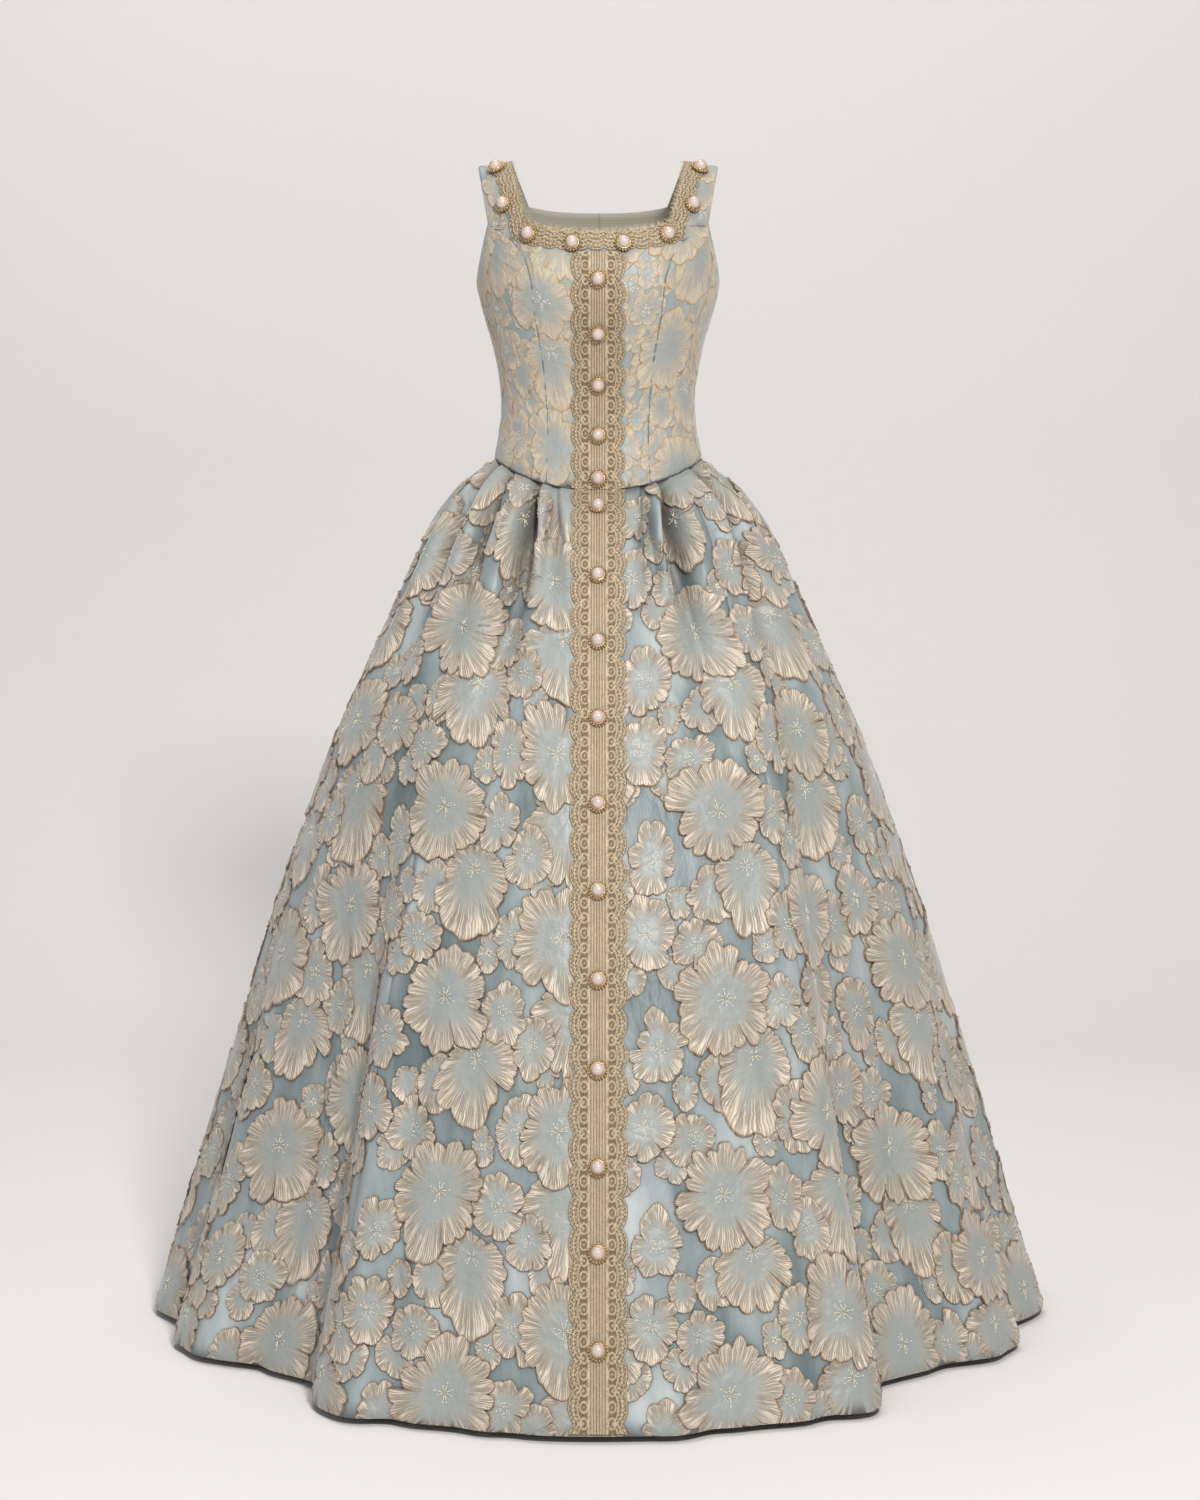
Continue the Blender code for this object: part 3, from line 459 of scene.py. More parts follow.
print("stage: materials")


def paintedShadeInFolds(tree, colour, dark, most, reach):
    # painted shade: the cloth's colour is darkened deep in a fold or under a petal, where little light comes
    # to it twice
    openness = addNode(tree, "ShaderNodeAmbientOcclusion", {"Distance": reach}, samples=6).outputs["AO"]
    closed = addNode(tree, "ShaderNodeMapRange", {"Value": openness, "From Min": 0.92, "From Max": 0.35,
                                                  "To Min": 0.0, "To Max": most}).outputs[0]
    mixed = addNode(tree, "ShaderNodeMix", {0: closed, 6: colour, 7: linearColour(dark)}, data_type="RGBA")
    return mixed.outputs[2]


# Duchesse satin, woven with fine viscose warps over a matt weft. Long floats give a soft upright sheen, so
# the roughness is low; slubs make its blue uneven, and long upright streaks of painted sheen and painted
# shade stand for light on soft folds.
satin, tree, shader, place = newMaterial("wovenDuchesseSatin")
stretched = addNode(tree, "ShaderNodeMapping", {"Vector": place, "Scale": (15, 15, 2.4)}).outputs[0]
sheenAndShadeStreaks = addNode(tree, "ShaderNodeTexNoise", {"Vector": stretched, "Scale": 1.0, "Detail": 3}).outputs["Fac"]
# the streaks' tones: painted sheen and painted shade of soft folds
tones = addNode(tree, "ShaderNodeValToRGB", {"Fac": sheenAndShadeStreaks},
                [(0.30, "#68787C"), (0.50, "#94A1A5"), (0.70, "#C2CCCF")])
threads = addNode(tree, "ShaderNodeMapping", {"Vector": place, "Scale": (900, 900, 90)}).outputs[0]
slubs = addNode(tree, "ShaderNodeTexNoise", {"Vector": threads, "Scale": 1.0, "Detail": 2}).outputs["Fac"]
# the ground is paler from the waist up, on the bodice
upright = addNode(tree, "ShaderNodeSeparateXYZ", {"Vector": place}).outputs["Z"]
bodied = addNode(tree, "ShaderNodeMapRange", {"Value": upright, "From Min": -0.41, "From Max": -0.37,
                                              "To Max": 0.7}).outputs[0]
paler = addNode(tree, "ShaderNodeMix", {0: bodied, 6: tones.outputs[0], 7: linearColour("#A6B2B5")},
                data_type="RGBA")
mottle = addNode(tree, "ShaderNodeMix", {"Factor": 0.10, 6: paler.outputs[2], 7: slubs},
                 data_type="RGBA", blend_type="OVERLAY")
puckers = addNode(tree, "ShaderNodeTexNoise", {"Vector": stretched, "Scale": 3.5, "Detail": 3}).outputs["Fac"]
roughMap = addNode(tree, "ShaderNodeMapRange", {"Value": sheenAndShadeStreaks, "To Min": 0.40, "To Max": 0.52}).outputs[0]
soft = addNode(tree, "ShaderNodeBump", {"Height": puckers, "Strength": 0.35, "Distance": 0.010})
grain = addNode(tree, "ShaderNodeBump", {"Height": slubs, "Strength": 0.12, "Distance": 0.0004,
                                         "Normal": soft.outputs[0]})
# painted shade deep in the pleats and folds and under the flowers
tree.links.new(paintedShadeInFolds(tree, mottle.outputs[2], "#3C4140", 0.80, 0.035), shader.inputs["Base Color"])
tree.links.new(roughMap, shader.inputs["Roughness"])
tree.links.new(grain.outputs[0], shader.inputs["Normal"])
shader.inputs["Sheen Weight"].default_value = 0.25
shader.inputs["Sheen Roughness"].default_value = 0.4

# The satin's reverse: the matt weft shows, in a plain pale weave.
reverse, tree, shader, place = newMaterial("mattWeftReverse")
warps = addNode(tree, "ShaderNodeTexWave", {"Vector": place, "Scale": 160, "Distortion": 1.5, "Detail": 1},
                bands_direction="Z").outputs["Fac"]
tones = addNode(tree, "ShaderNodeValToRGB", {"Fac": warps}, [(0.0, "#A39F92"), (1.0, "#B8B4A8")])
weave = addNode(tree, "ShaderNodeBump", {"Height": warps, "Strength": 0.3, "Distance": 0.0005})
tree.links.new(tones.outputs[0], shader.inputs["Base Color"])
tree.links.new(weave.outputs[0], shader.inputs["Normal"])
shader.inputs["Roughness"].default_value = 0.85


# Cloque: the flowers are a second, crimped layer that puffs up from the satin. The yarn is a sheer
# beige over blue at the heart, cream where it gathers towards the rim, and the rim is tied down
# with a dull gold or brown thread. Veins are its gathers, about 2.6 mm apart at the rim, paler on
# their crests as painted highlight and darker in their hollows as painted shade.
def flowerMaterial(name, look):
    material, tree, shader, place = newMaterial(name)
    fans = addNode(tree, "ShaderNodeSeparateXYZ",
                   {"Vector": addNode(tree, "ShaderNodeUVMap", uv_map="petal").outputs[0]})
    facts = addNode(tree, "ShaderNodeSeparateColor",
                    {"Color": addNode(tree, "ShaderNodeAttribute", attribute_name="bloom").outputs["Color"]})
    wander = addNode(tree, "ShaderNodeTexNoise", {"Vector": place, "Scale": 75, "Detail": 3}).outputs["Fac"]
    drift = addNode(tree, "ShaderNodeMath", {0: wander, 1: -0.5}, operation="ADD").outputs[0]
    out = addNode(tree, "ShaderNodeMath", {0: drift, 1: look["drift"], 2: fans.outputs["Y"]},
                  operation="MULTIPLY_ADD").outputs[0]
    # veins
    sway = addNode(tree, "ShaderNodeMath", {0: drift, 1: 1.6, 2: fans.outputs["X"]},
                   operation="MULTIPLY_ADD").outputs[0]
    turn = addNode(tree, "ShaderNodeMath", {0: sway, 1: 2 * math.pi}, operation="MULTIPLY").outputs[0]
    wave = addNode(tree, "ShaderNodeMath", {0: turn}, operation="SINE").outputs[0]
    fanned = addNode(tree, "ShaderNodeCombineXYZ", {"X": sway, "Y": addNode(
        tree, "ShaderNodeMath", {0: fans.outputs["Y"], 1: 1.6}, operation="MULTIPLY").outputs[0]}).outputs[0]
    streaks = addNode(tree, "ShaderNodeTexNoise",
                      {"Vector": fanned, "Scale": 1.25, "Detail": 2.5}).outputs["Fac"]
    uneven = addNode(tree, "ShaderNodeMath", {0: streaks, 1: -0.5}, operation="ADD").outputs[0]
    quiet = addNode(tree, "ShaderNodeMath", {0: wave, 1: 0.30}, operation="MULTIPLY").outputs[0]
    gathers = addNode(tree, "ShaderNodeMath", {0: uneven, 1: 4.5, 2: quiet},
                      operation="MULTIPLY_ADD").outputs[0]
    ridge = addNode(tree, "ShaderNodeMapRange", {"Value": gathers, "From Min": -0.45, "From Max": 0.55},
                    interpolation_type="SMOOTHSTEP").outputs[0]
    rays = addNode(tree, "ShaderNodeMath", {0: ridge, 1: 0.10, 2: out}, operation="MULTIPLY_ADD").outputs[0]
    rayed = addNode(tree, "ShaderNodeMath", {0: rays, 1: -0.05}, operation="ADD").outputs[0]
    tones = addNode(tree, "ShaderNodeValToRGB", {"Fac": rayed}, look["tones"])
    reach = addNode(tree, "ShaderNodeMapRange",
                    {"Value": out, "From Min": look["veinsFrom"], "From Max": 0.85},
                    interpolation_type="SMOOTHSTEP").outputs[0]
    veins = addNode(tree, "ShaderNodeMath", {0: ridge, 1: reach}, operation="MULTIPLY").outputs[0]
    # painted highlight on the crests of the gathers, towards the rim
    lit = addNode(tree, "ShaderNodeMath", {0: veins, 1: look["veinHighlightStrength"]},
                  operation="MULTIPLY").outputs[0]
    veined = addNode(tree, "ShaderNodeMix", {0: lit, 6: tones.outputs[0], 7: linearColour(look["veinHighlight"])},
                     data_type="RGBA")
    # painted shade in the hollows between the gathers, towards the rim
    hollow = addNode(tree, "ShaderNodeMath", {0: 1.0, 1: ridge}, operation="SUBTRACT").outputs[0]
    shaded = addNode(tree, "ShaderNodeMath", {0: hollow, 1: reach}, operation="MULTIPLY").outputs[0]
    less = addNode(tree, "ShaderNodeMath", {0: shaded, 1: look["hollowStrength"]},
                   operation="MULTIPLY").outputs[0]
    gathered = addNode(tree, "ShaderNodeMix",
                       {0: less, 6: veined.outputs[2], 7: linearColour(look["hollow"])}, data_type="RGBA")
    # the rim's thread, and the edges where one petal lies over the next: a line in the rim's colour, partly
    # its thread and partly painted shadow under the upper petal
    inward = addNode(tree, "ShaderNodeMapRange",
                     {"Value": out, "From Min": 0.45, "From Max": 0.85}).outputs[0]
    fold = addNode(tree, "ShaderNodeMath", {0: drift, 1: 0.10, 2: facts.outputs["Red"]},
                   operation="MULTIPLY_ADD").outputs[0]
    lapThreadAndShadow = addNode(tree, "ShaderNodeMapRange",
                     {"Value": fold, "From Min": 0.90, "From Max": 0.985}).outputs[0]
    often = addNode(tree, "ShaderNodeMath", {0: lapThreadAndShadow, 1: facts.outputs["Blue"]},
                    operation="MULTIPLY").outputs[0]
    edge = addNode(tree, "ShaderNodeMath", {0: often, 1: inward}, operation="MULTIPLY").outputs[0]
    broken = addNode(tree, "ShaderNodeTexNoise", {"Vector": place, "Scale": 55, "Detail": 2}).outputs["Fac"]
    patchy = addNode(tree, "ShaderNodeMapRange", {"Value": broken, "From Min": 0.36, "From Max": 0.56,
                                                  "To Min": look["rimLeast"], "To Max": 1.0}).outputs[0]
    outermost = addNode(tree, "ShaderNodeMapRange", {"Value": fans.outputs["Y"], "From Min": look["rimFrom"],
                                                     "From Max": look["rimFrom"] + 0.02}).outputs[0]
    rim = addNode(tree, "ShaderNodeMath", {0: outermost, 1: patchy}, operation="MULTIPLY").outputs[0]
    tied = addNode(tree, "ShaderNodeMath", {0: edge, 1: rim}, operation="MAXIMUM").outputs[0]
    bound = addNode(tree, "ShaderNodeMath", {0: tied, 1: look["rimStrength"]},
                    operation="MULTIPLY").outputs[0]
    rimmed = addNode(tree, "ShaderNodeMix",
                     {0: bound, 6: gathered.outputs[2], 7: linearColour(look["rim"])}, data_type="RGBA")
    warm = addNode(tree, "ShaderNodeMath", {0: facts.outputs["Green"], 1: 0.22},
                   operation="MULTIPLY").outputs[0]
    tinted = addNode(tree, "ShaderNodeMix", {0: warm, 6: rimmed.outputs[2], 7: linearColour(look["tint"])},
                     data_type="RGBA", blend_type="MULTIPLY")
    weave = addNode(tree, "ShaderNodeTexNoise", {"Vector": place, "Scale": 700, "Detail": 1}).outputs["Fac"]
    gather = addNode(tree, "ShaderNodeBump",
                     {"Height": veins, "Strength": look["veinBump"], "Distance": 0.0012})
    crimped = addNode(tree, "ShaderNodeBump", {"Height": wander, "Strength": 0.6, "Distance": 0.0045,
                                               "Normal": gather.outputs[0]})
    fine = addNode(tree, "ShaderNodeBump", {"Height": weave, "Strength": 0.2, "Distance": 0.0004,
                                            "Normal": crimped.outputs[0]})
    gloss = addNode(tree, "ShaderNodeMapRange", {"Value": out, "To Min": 0.38, "To Max": 0.55}).outputs[0]
    # painted shade deep in the folds and under other petals
    tree.links.new(paintedShadeInFolds(tree, tinted.outputs[2], "#4B4031", 0.75, 0.03), shader.inputs["Base Color"])
    tree.links.new(gloss, shader.inputs["Roughness"])
    tree.links.new(fine.outputs[0], shader.inputs["Normal"])
    shader.inputs["Sheen Weight"].default_value = 0.3
    shader.inputs["Sheen Roughness"].default_value = 0.45
    return material


# the cream step at 0.94 is the yarn's cream with painted highlight on the rim's crest
skirtFlower = flowerMaterial("crimpedClokeFlower", {
    "tones": [(0.0, "#9CA6A7"), (0.46, "#A3A9A7"), (0.62, "#AFAEA6"), (0.76, "#BDB6A9"), (0.87, "#CCC0AF"),
              (0.94, "#E6DAC9"), (1.0, "#C6B096")],
    "drift": 0.30, "veinHighlight": "#F3E9DA", "veinsFrom": 0.34, "veinHighlightStrength": 0.62, "hollow": "#746A5C",
    "hollowStrength": 0.46, "veinBump": 0.85, "rim": "#7A5B40", "rimStrength": 0.88, "rimLeast": 0.30,
    "rimFrom": 0.960, "tint": "#F0E1D2"})
bodiceFlower = flowerMaterial("flatClokeFlower", {
    "tones": [(0.0, "#9EA8AA"), (0.38, "#A8ACA9"), (0.56, "#B2B0A8"), (0.74, "#BEB7AB"), (0.88, "#C9BEAD"),
              (0.95, "#D3C6B0"), (1.0, "#BBA27F")],
    "drift": 0.60, "veinHighlight": "#DDD1B8", "veinsFrom": 0.36, "veinHighlightStrength": 0.50, "hollow": "#9A9384",
    "hollowStrength": 0.30, "veinBump": 0.35, "rim": "#B48D5A", "rimStrength": 0.8, "rimLeast": 0.0,
    "rimFrom": 0.955, "tint": "#EFE5DA"})

# Silk sewing thread in the seams, dyed to the satin; its dark grey is painted shade where the seam is sunk.
seamThreadAndShade, tree, shader, place = newMaterial("sunkSeamThreadAndShade")
stitches = addNode(tree, "ShaderNodeTexNoise", {"Vector": place, "Scale": 500, "Detail": 1}).outputs["Fac"]
tones = addNode(tree, "ShaderNodeValToRGB", {"Fac": stitches}, [(0.3, "#55605F"), (0.7, "#7C8786")])
tree.links.new(tones.outputs[0], shader.inputs["Base Color"])
shader.inputs["Roughness"].default_value = 0.7

# Stamens: loose knots of undyed silk thread.
silk, tree, shader, place = newMaterial("undyedSilkThread")
ply = addNode(tree, "ShaderNodeTexNoise", {"Vector": place, "Scale": 900, "Detail": 1}).outputs["Fac"]
tones = addNode(tree, "ShaderNodeValToRGB", {"Fac": ply}, [(0.3, "#DDD3BC"), (0.7, "#F6EFDD")])
tree.links.new(tones.outputs[0], shader.inputs["Base Color"])
twist = addNode(tree, "ShaderNodeBump", {"Height": ply, "Strength": 0.3, "Distance": 0.0003})
tree.links.new(twist.outputs[0], shader.inputs["Normal"])
shader.inputs["Roughness"].default_value = 0.6

# Galloon lace of cotton cord with a dull metal thread. Its "cord" attribute holds how high the work stands
# in red, and the colour is darker where the work lies low, as painted shade, and how open it is in green,
# where the holes get painted shade.
galloon, tree, shader, place = newMaterial("cottonAndMetalGalloon")
heightAt = addNode(tree, "ShaderNodeSeparateColor",
                   {"Color": addNode(tree, "ShaderNodeAttribute", attribute_name="cord").outputs["Color"]})
grime = addNode(tree, "ShaderNodeTexNoise", {"Vector": place, "Scale": 260, "Detail": 3}).outputs["Fac"]
ply = addNode(tree, "ShaderNodeTexNoise", {"Vector": place, "Scale": 1100, "Detail": 1}).outputs["Fac"]
# painted shade low between the cords, paler where the work stands high
tones = addNode(tree, "ShaderNodeValToRGB", {"Fac": heightAt.outputs["Red"]},
                [(0.0, "#7C6B54"), (0.30, "#9F8F77"), (0.62, "#BBAB91"), (1.0, "#D5C7AE")])
worn = addNode(tree, "ShaderNodeMix", {"Factor": 0.35, 6: tones.outputs[0], 7: grime},
               data_type="RGBA", blend_type="OVERLAY")
# painted shade in the holes of the openwork
holes = addNode(tree, "ShaderNodeMix",
                {0: heightAt.outputs["Green"], 6: worn.outputs[2], 7: linearColour("#65573F")},
                data_type="RGBA")
plyBump = addNode(tree, "ShaderNodeBump", {"Height": ply, "Strength": 0.45, "Distance": 0.0006})
grimeBump = addNode(tree, "ShaderNodeBump", {"Height": grime, "Strength": 0.4, "Distance": 0.0010,
                                             "Normal": plyBump.outputs[0]})
tree.links.new(holes.outputs[2], shader.inputs["Base Color"])
tree.links.new(grimeBump.outputs[0], shader.inputs["Normal"])
shader.inputs["Roughness"].default_value = 0.62
shader.inputs["Metallic"].default_value = 0.15

# The eyelash is the galloon's own loose weft, unspun and paler.
looseEnds, tree, shader, place = newMaterial("looseCottonWeft")
fade = addNode(tree, "ShaderNodeTexNoise", {"Vector": place, "Scale": 300, "Detail": 1}).outputs["Fac"]
tones = addNode(tree, "ShaderNodeValToRGB", {"Fac": fade}, [(0.3, "#A08F70"), (0.7, "#D3C6A9")])
tree.links.new(tones.outputs[0], shader.inputs["Base Color"])
shader.inputs["Roughness"].default_value = 0.8

# Glass pearls with a pearl-essence coat: white, turning rose and darker towards the edge as painted sheen and
# shade, under a clear gloss.
pearlCoat, tree, shader, place = newMaterial("coatedGlassPearl")
facing = addNode(tree, "ShaderNodeLayerWeight", {"Blend": 0.35}).outputs["Facing"]
cloud = addNode(tree, "ShaderNodeTexNoise", {"Vector": place, "Scale": 120, "Detail": 2}).outputs["Fac"]
mixed = addNode(tree, "ShaderNodeMath", {0: cloud, 1: 0.35, 2: facing}, operation="MULTIPLY_ADD").outputs[0]
tones = addNode(tree, "ShaderNodeValToRGB", {"Fac": mixed},
                [(0.15, "#DACBC4"), (0.55, "#C9B2A9"), (1.0, "#A2857A")])
tree.links.new(tones.outputs[0], shader.inputs["Base Color"])
shader.inputs["Roughness"].default_value = 0.22
shader.inputs["Coat Weight"].default_value = 0.9
shader.inputs["Coat Roughness"].default_value = 0.08

# Antiqued gilt brass, stamped: bright on the beads and brown where polish doesn't reach.
gilt, tree, shader, place = newMaterial("stampedGiltBrass")
tarnish = addNode(tree, "ShaderNodeTexNoise", {"Vector": place, "Scale": 420, "Detail": 3}).outputs["Fac"]
tones = addNode(tree, "ShaderNodeValToRGB", {"Fac": tarnish}, [(0.35, "#A0855F"), (0.7, "#DEC59B")])
tree.links.new(tones.outputs[0], shader.inputs["Base Color"])
polish = addNode(tree, "ShaderNodeMapRange", {"Value": tarnish, "To Min": 0.5, "To Max": 0.28})
tree.links.new(polish.outputs[0], shader.inputs["Roughness"])
shader.inputs["Metallic"].default_value = 0.65


print("stage: bodice")
panelCut = {"thick": 0.0018, "bodyRows": 44, "strapRows": 22, "across": 22, "strapAcross": 12, "side": 26}


def onSide(points, normals, face, hand):
    # turned over for the wearer's right, and half a seam's gap away from the neighbouring panels
    flip = np.array([hand, 1, 1])
    forward = -1 if face == "front" else 1
    return points * flip + np.array([hand, forward, 0]) * cut["seamGap"] / 2, normals * flip


def centrePanel(face, hand):
    corner = cut["cornerX"] / cut["notchX"]
    shares = np.concatenate([np.linspace(0, corner, panelCut["across"]),
                             np.linspace(corner, 1, panelCut["strapAcross"])[1:]])
    up = np.linspace(0, 1, panelCut["bodyRows"])[:, None]
    outer = seamX(seamHeight(up, face), face)
    x = shares[None, :] * outer
    low = np.interp(x[0], *waistLines[face]) + cut["waistGap"] / 2
    high = necklineHeight(x[-1], face)
    body = rowAtHeight(low + (high - low) * up)
    rise = np.linspace(0, 1, panelCut["strapRows"])[1:, None]
    start = body[-1][None, :]
    strap = start + (topRow - start) * rise
    bottom, here = section(start)[0], section(strap)[0]
    risen = (here - bottom) / (shoulderHeight - bottom)
    inner, outer = strapEdges(risen)
    along = np.clip((shares - corner) / (1 - corner), 0, 1)[None, :]
    x = np.concatenate([x, inner + (outer - inner) * along])
    rows = np.concatenate([body, strap])
    keep = np.ones(x.shape, bool)
    keep[panelCut["bodyRows"]:, :panelCut["across"] - 1] = False
    return *onSide(bodicePoint(x, rows, face), bodiceNormals(x, rows, face), face, hand), keep


def sidePanel(face, hand):
    up = np.linspace(0, 1, panelCut["bodyRows"])
    height = seamHeight(up, face)
    row = rowAtHeight(height)
    start = np.degrees(np.arcsin(np.minimum((seamX(height, face) + 0.0005) / section(row)[1], 1)
                                 ** (1 / cut["squareness"])))[:, None]
    across = np.linspace(0, 1, panelCut["side"])[None, :]
    angle = start + (90 - start) * across
    angle = angle if face == "front" else 180 - angle
    low = waistHeight(angle[:1]) + cut["waistGap"] / 2
    low[0, 0] = seamHeight(0, face)
    rows = rowAtHeight(low + (armholeHeight(across, face) - low) * up[:, None])
    points = bodiceRound(angle, rows)
    ahead = bodiceRound(angle + 0.15, rows) - bodiceRound(angle - 0.15, rows)
    above = bodiceRound(angle, rows + 0.01) - bodiceRound(angle, rows - 0.01)
    normals = np.cross(ahead, above)
    normals /= np.linalg.norm(normals, axis=-1, keepdims=True)
    return *onSide(points, normals, face, hand), None


# panel, the width and length it is cut to, and its flat area in square metres
bodiceCuts = [
    ("centre", "front", (0.150, 0.400), 0.0290), ("side", "front", (0.120, 0.310), 0.0290),
    ("centre", "back", (0.150, 0.400), 0.0310), ("side", "back", (0.110, 0.285), 0.0245),
]
for kind, face, flat, area in bodiceCuts:
    for hand, side in ((-1, "right"), (1, "left")):
        points, normals, keep = (centrePanel if kind == "centre" else sidePanel)(face, hand)
        name = "bodice" + face.title() + kind.title() + side.title()
        piece = shell(name, points, normals, panelCut["thick"], satin, reverse, keep)
        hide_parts(f"bodice_{face}_{kind}_{side}")


print("stage: skirt")
# edges and steps are in degrees round the waist
gore = {"edges": [0, 47, 110, 180], "words": ["front", "side", "back"], "thick": 0.0015, "rows": 64,
        "widest": 2.6, "closest": 0.5, "fromEdge": 0.6}
pleatShares = (0, 0.28, 0.55, 0.85, 1.15, 1.5, 2.0, 2.6)


def goreAngles(first, last):
    # closer columns over each pleat
    found = {first, last}
    for place, _, half, _, _ in pleatTable:
        for share in sorted({way * share for way in (-1, 1) for share in pleatShares}):
            if first + gore["fromEdge"] < place + share * half < last - gore["fromEdge"]:
                found.add(place + share * half)
    ordered = sorted(found)
    filled = [ordered[0]]
    for angle in ordered[1:]:
        if angle - filled[-1] < gore["closest"] and angle != ordered[-1]:
            continue
        count = math.ceil((angle - filled[-1]) / gore["widest"])
        start = filled[-1]
        filled += [start + (angle - start) * k / count for k in range(1, count + 1)]
    return np.array(filled)


goreRows = np.linspace(0, 1, gore["rows"]) ** 1.15
for hand, side in ((-1, "right"), (1, "left")):
    for k, word in enumerate(gore["words"]):
        first, last = sorted((hand * gore["edges"][k], hand * gore["edges"][k + 1]))
        angles = goreAngles(first, last)
        points = skirtPoint(angles[None, :], goreRows[:, None])
        normals = normalsOf(points[::-1])[::-1]
        for edge, inside in ((0, 1), (-1, -2)):
            away = points[:, inside] - points[:, edge]
            points[:, edge] += away / np.linalg.norm(away, axis=-1, keepdims=True) * cut["seamGap"] / 2
        name = "skirt" + word.title() + side.title()
        piece = shell(name, points, normals, gore["thick"], satin, reverse)
        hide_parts(f"skirt_{word}_{side}")


print("stage: flowers")
# One repeat of the brocade: places across and down from the largest bloom's middle, half width and
# half height in metres, petals, turn in degrees, what lies over what (a higher order is on top),
# and how far above its middle the heart sits, as a share of the half height.
repeatWide = 0.322
bloomTable = [
    (0.000, 0.000, 0.0550, 0.0600, 6, 10, 5, 0.08),
    (0.037, 0.086, 0.0430, 0.0530, 4, 48, 2, 0.45),
    (-0.010, 0.090, 0.0240, 0.0310, 3, 100, 1.5, 0.2),
    (0.136, -0.076, 0.0500, 0.0590, 5, -12, 4, 0.05),
    (0.151, 0.022, 0.0500, 0.0560, 4, 40, 1, 0.50),
    (-0.078, 0.044, 0.0275, 0.0380, 5, 0, 3, 0.0),
    (0.070, 0.006, 0.0255, 0.0340, 5, 15, 3, 0.0),
    (0.103, 0.043, 0.0250, 0.0330, 4, -20, 2.5, 0.1),
    (0.119, 0.075, 0.0150, 0.0200, 3, 25, 0.8, 0.3),
    (0.088, 0.134, 0.0240, 0.0380, 4, 5, 3.2, 0.0),
    (-0.036, -0.068, 0.0300, 0.0300, 5, 30, 3.4, 0.0),
    (-0.060, -0.040, 0.0210, 0.0220, 3, -30, 1.2, 0.2),
    (-0.092, -0.084, 0.0330, 0.0380, 5, 50, 4.5, 0.0),
    (0.190, -0.056, 0.0290, 0.0390, 4, 10, 3.1, 0.1),
    (-0.116, -0.034, 0.0220, 0.0250, 3, 60, 0.9, 0.0),
    (0.203, 0.072, 0.0190, 0.0250, 4, -15, 0.7, 0.1),
    (-0.049, 0.094, 0.0160, 0.0200, 3, 35, 0.6, 0.2),
    (0.052, -0.058, 0.0150, 0.0220, 4, 10, 0.5, 0.0),
]
# share of the petal's length from the heart, and the height there in millimetres; the rows before
# the cut have half as many columns
profiles = {
    "large": {"rows": [(0, 0.5), (0.20, 1.0), (0.46, 1.4), (0.70, 1.0), (0.85, 0.9), (0.925, 2.0),
                       (0.978, 2.4), (1.0, 0.0)], "cut": 4, "pitch": 0.0100},
    "small": {"rows": [(0, 0.4), (0.45, 1.1), (0.78, 0.8), (0.91, 2.0), (0.97, 1.9), (1.0, 0.0)],
              "cut": 3, "pitch": 0.0095},
}
for size, count in (("large", 10), ("small", 6)):
    # blooms in the pleats bend with them, so they have more rows
    rough = np.array(profiles[size]["rows"])
    crest = rough[rough[:, 0] > 0.77]
    fine = np.linspace(0, crest[0, 0], count, endpoint=False)
    rows = list(zip(fine, np.interp(fine, rough[:, 0], rough[:, 1]))) + crest.tolist()
    profiles[size + "Pleated"] = {"rows": rows, "cut": round(0.7 * count), "pitch": profiles[size]["pitch"]}
bodiceRise = 0.38
bloomLook = {"veinPitch": 0.0026, "petalStep": 0.7, "foldLift": 0.7, "orderLift": 0.14,
             "scallopDeep": 0.0013, "foldPitch": 0.021, "pressed": 0.00012, "overlapReach": 0.14,
             "flatCell": 2e-8, "covered": 0.999}


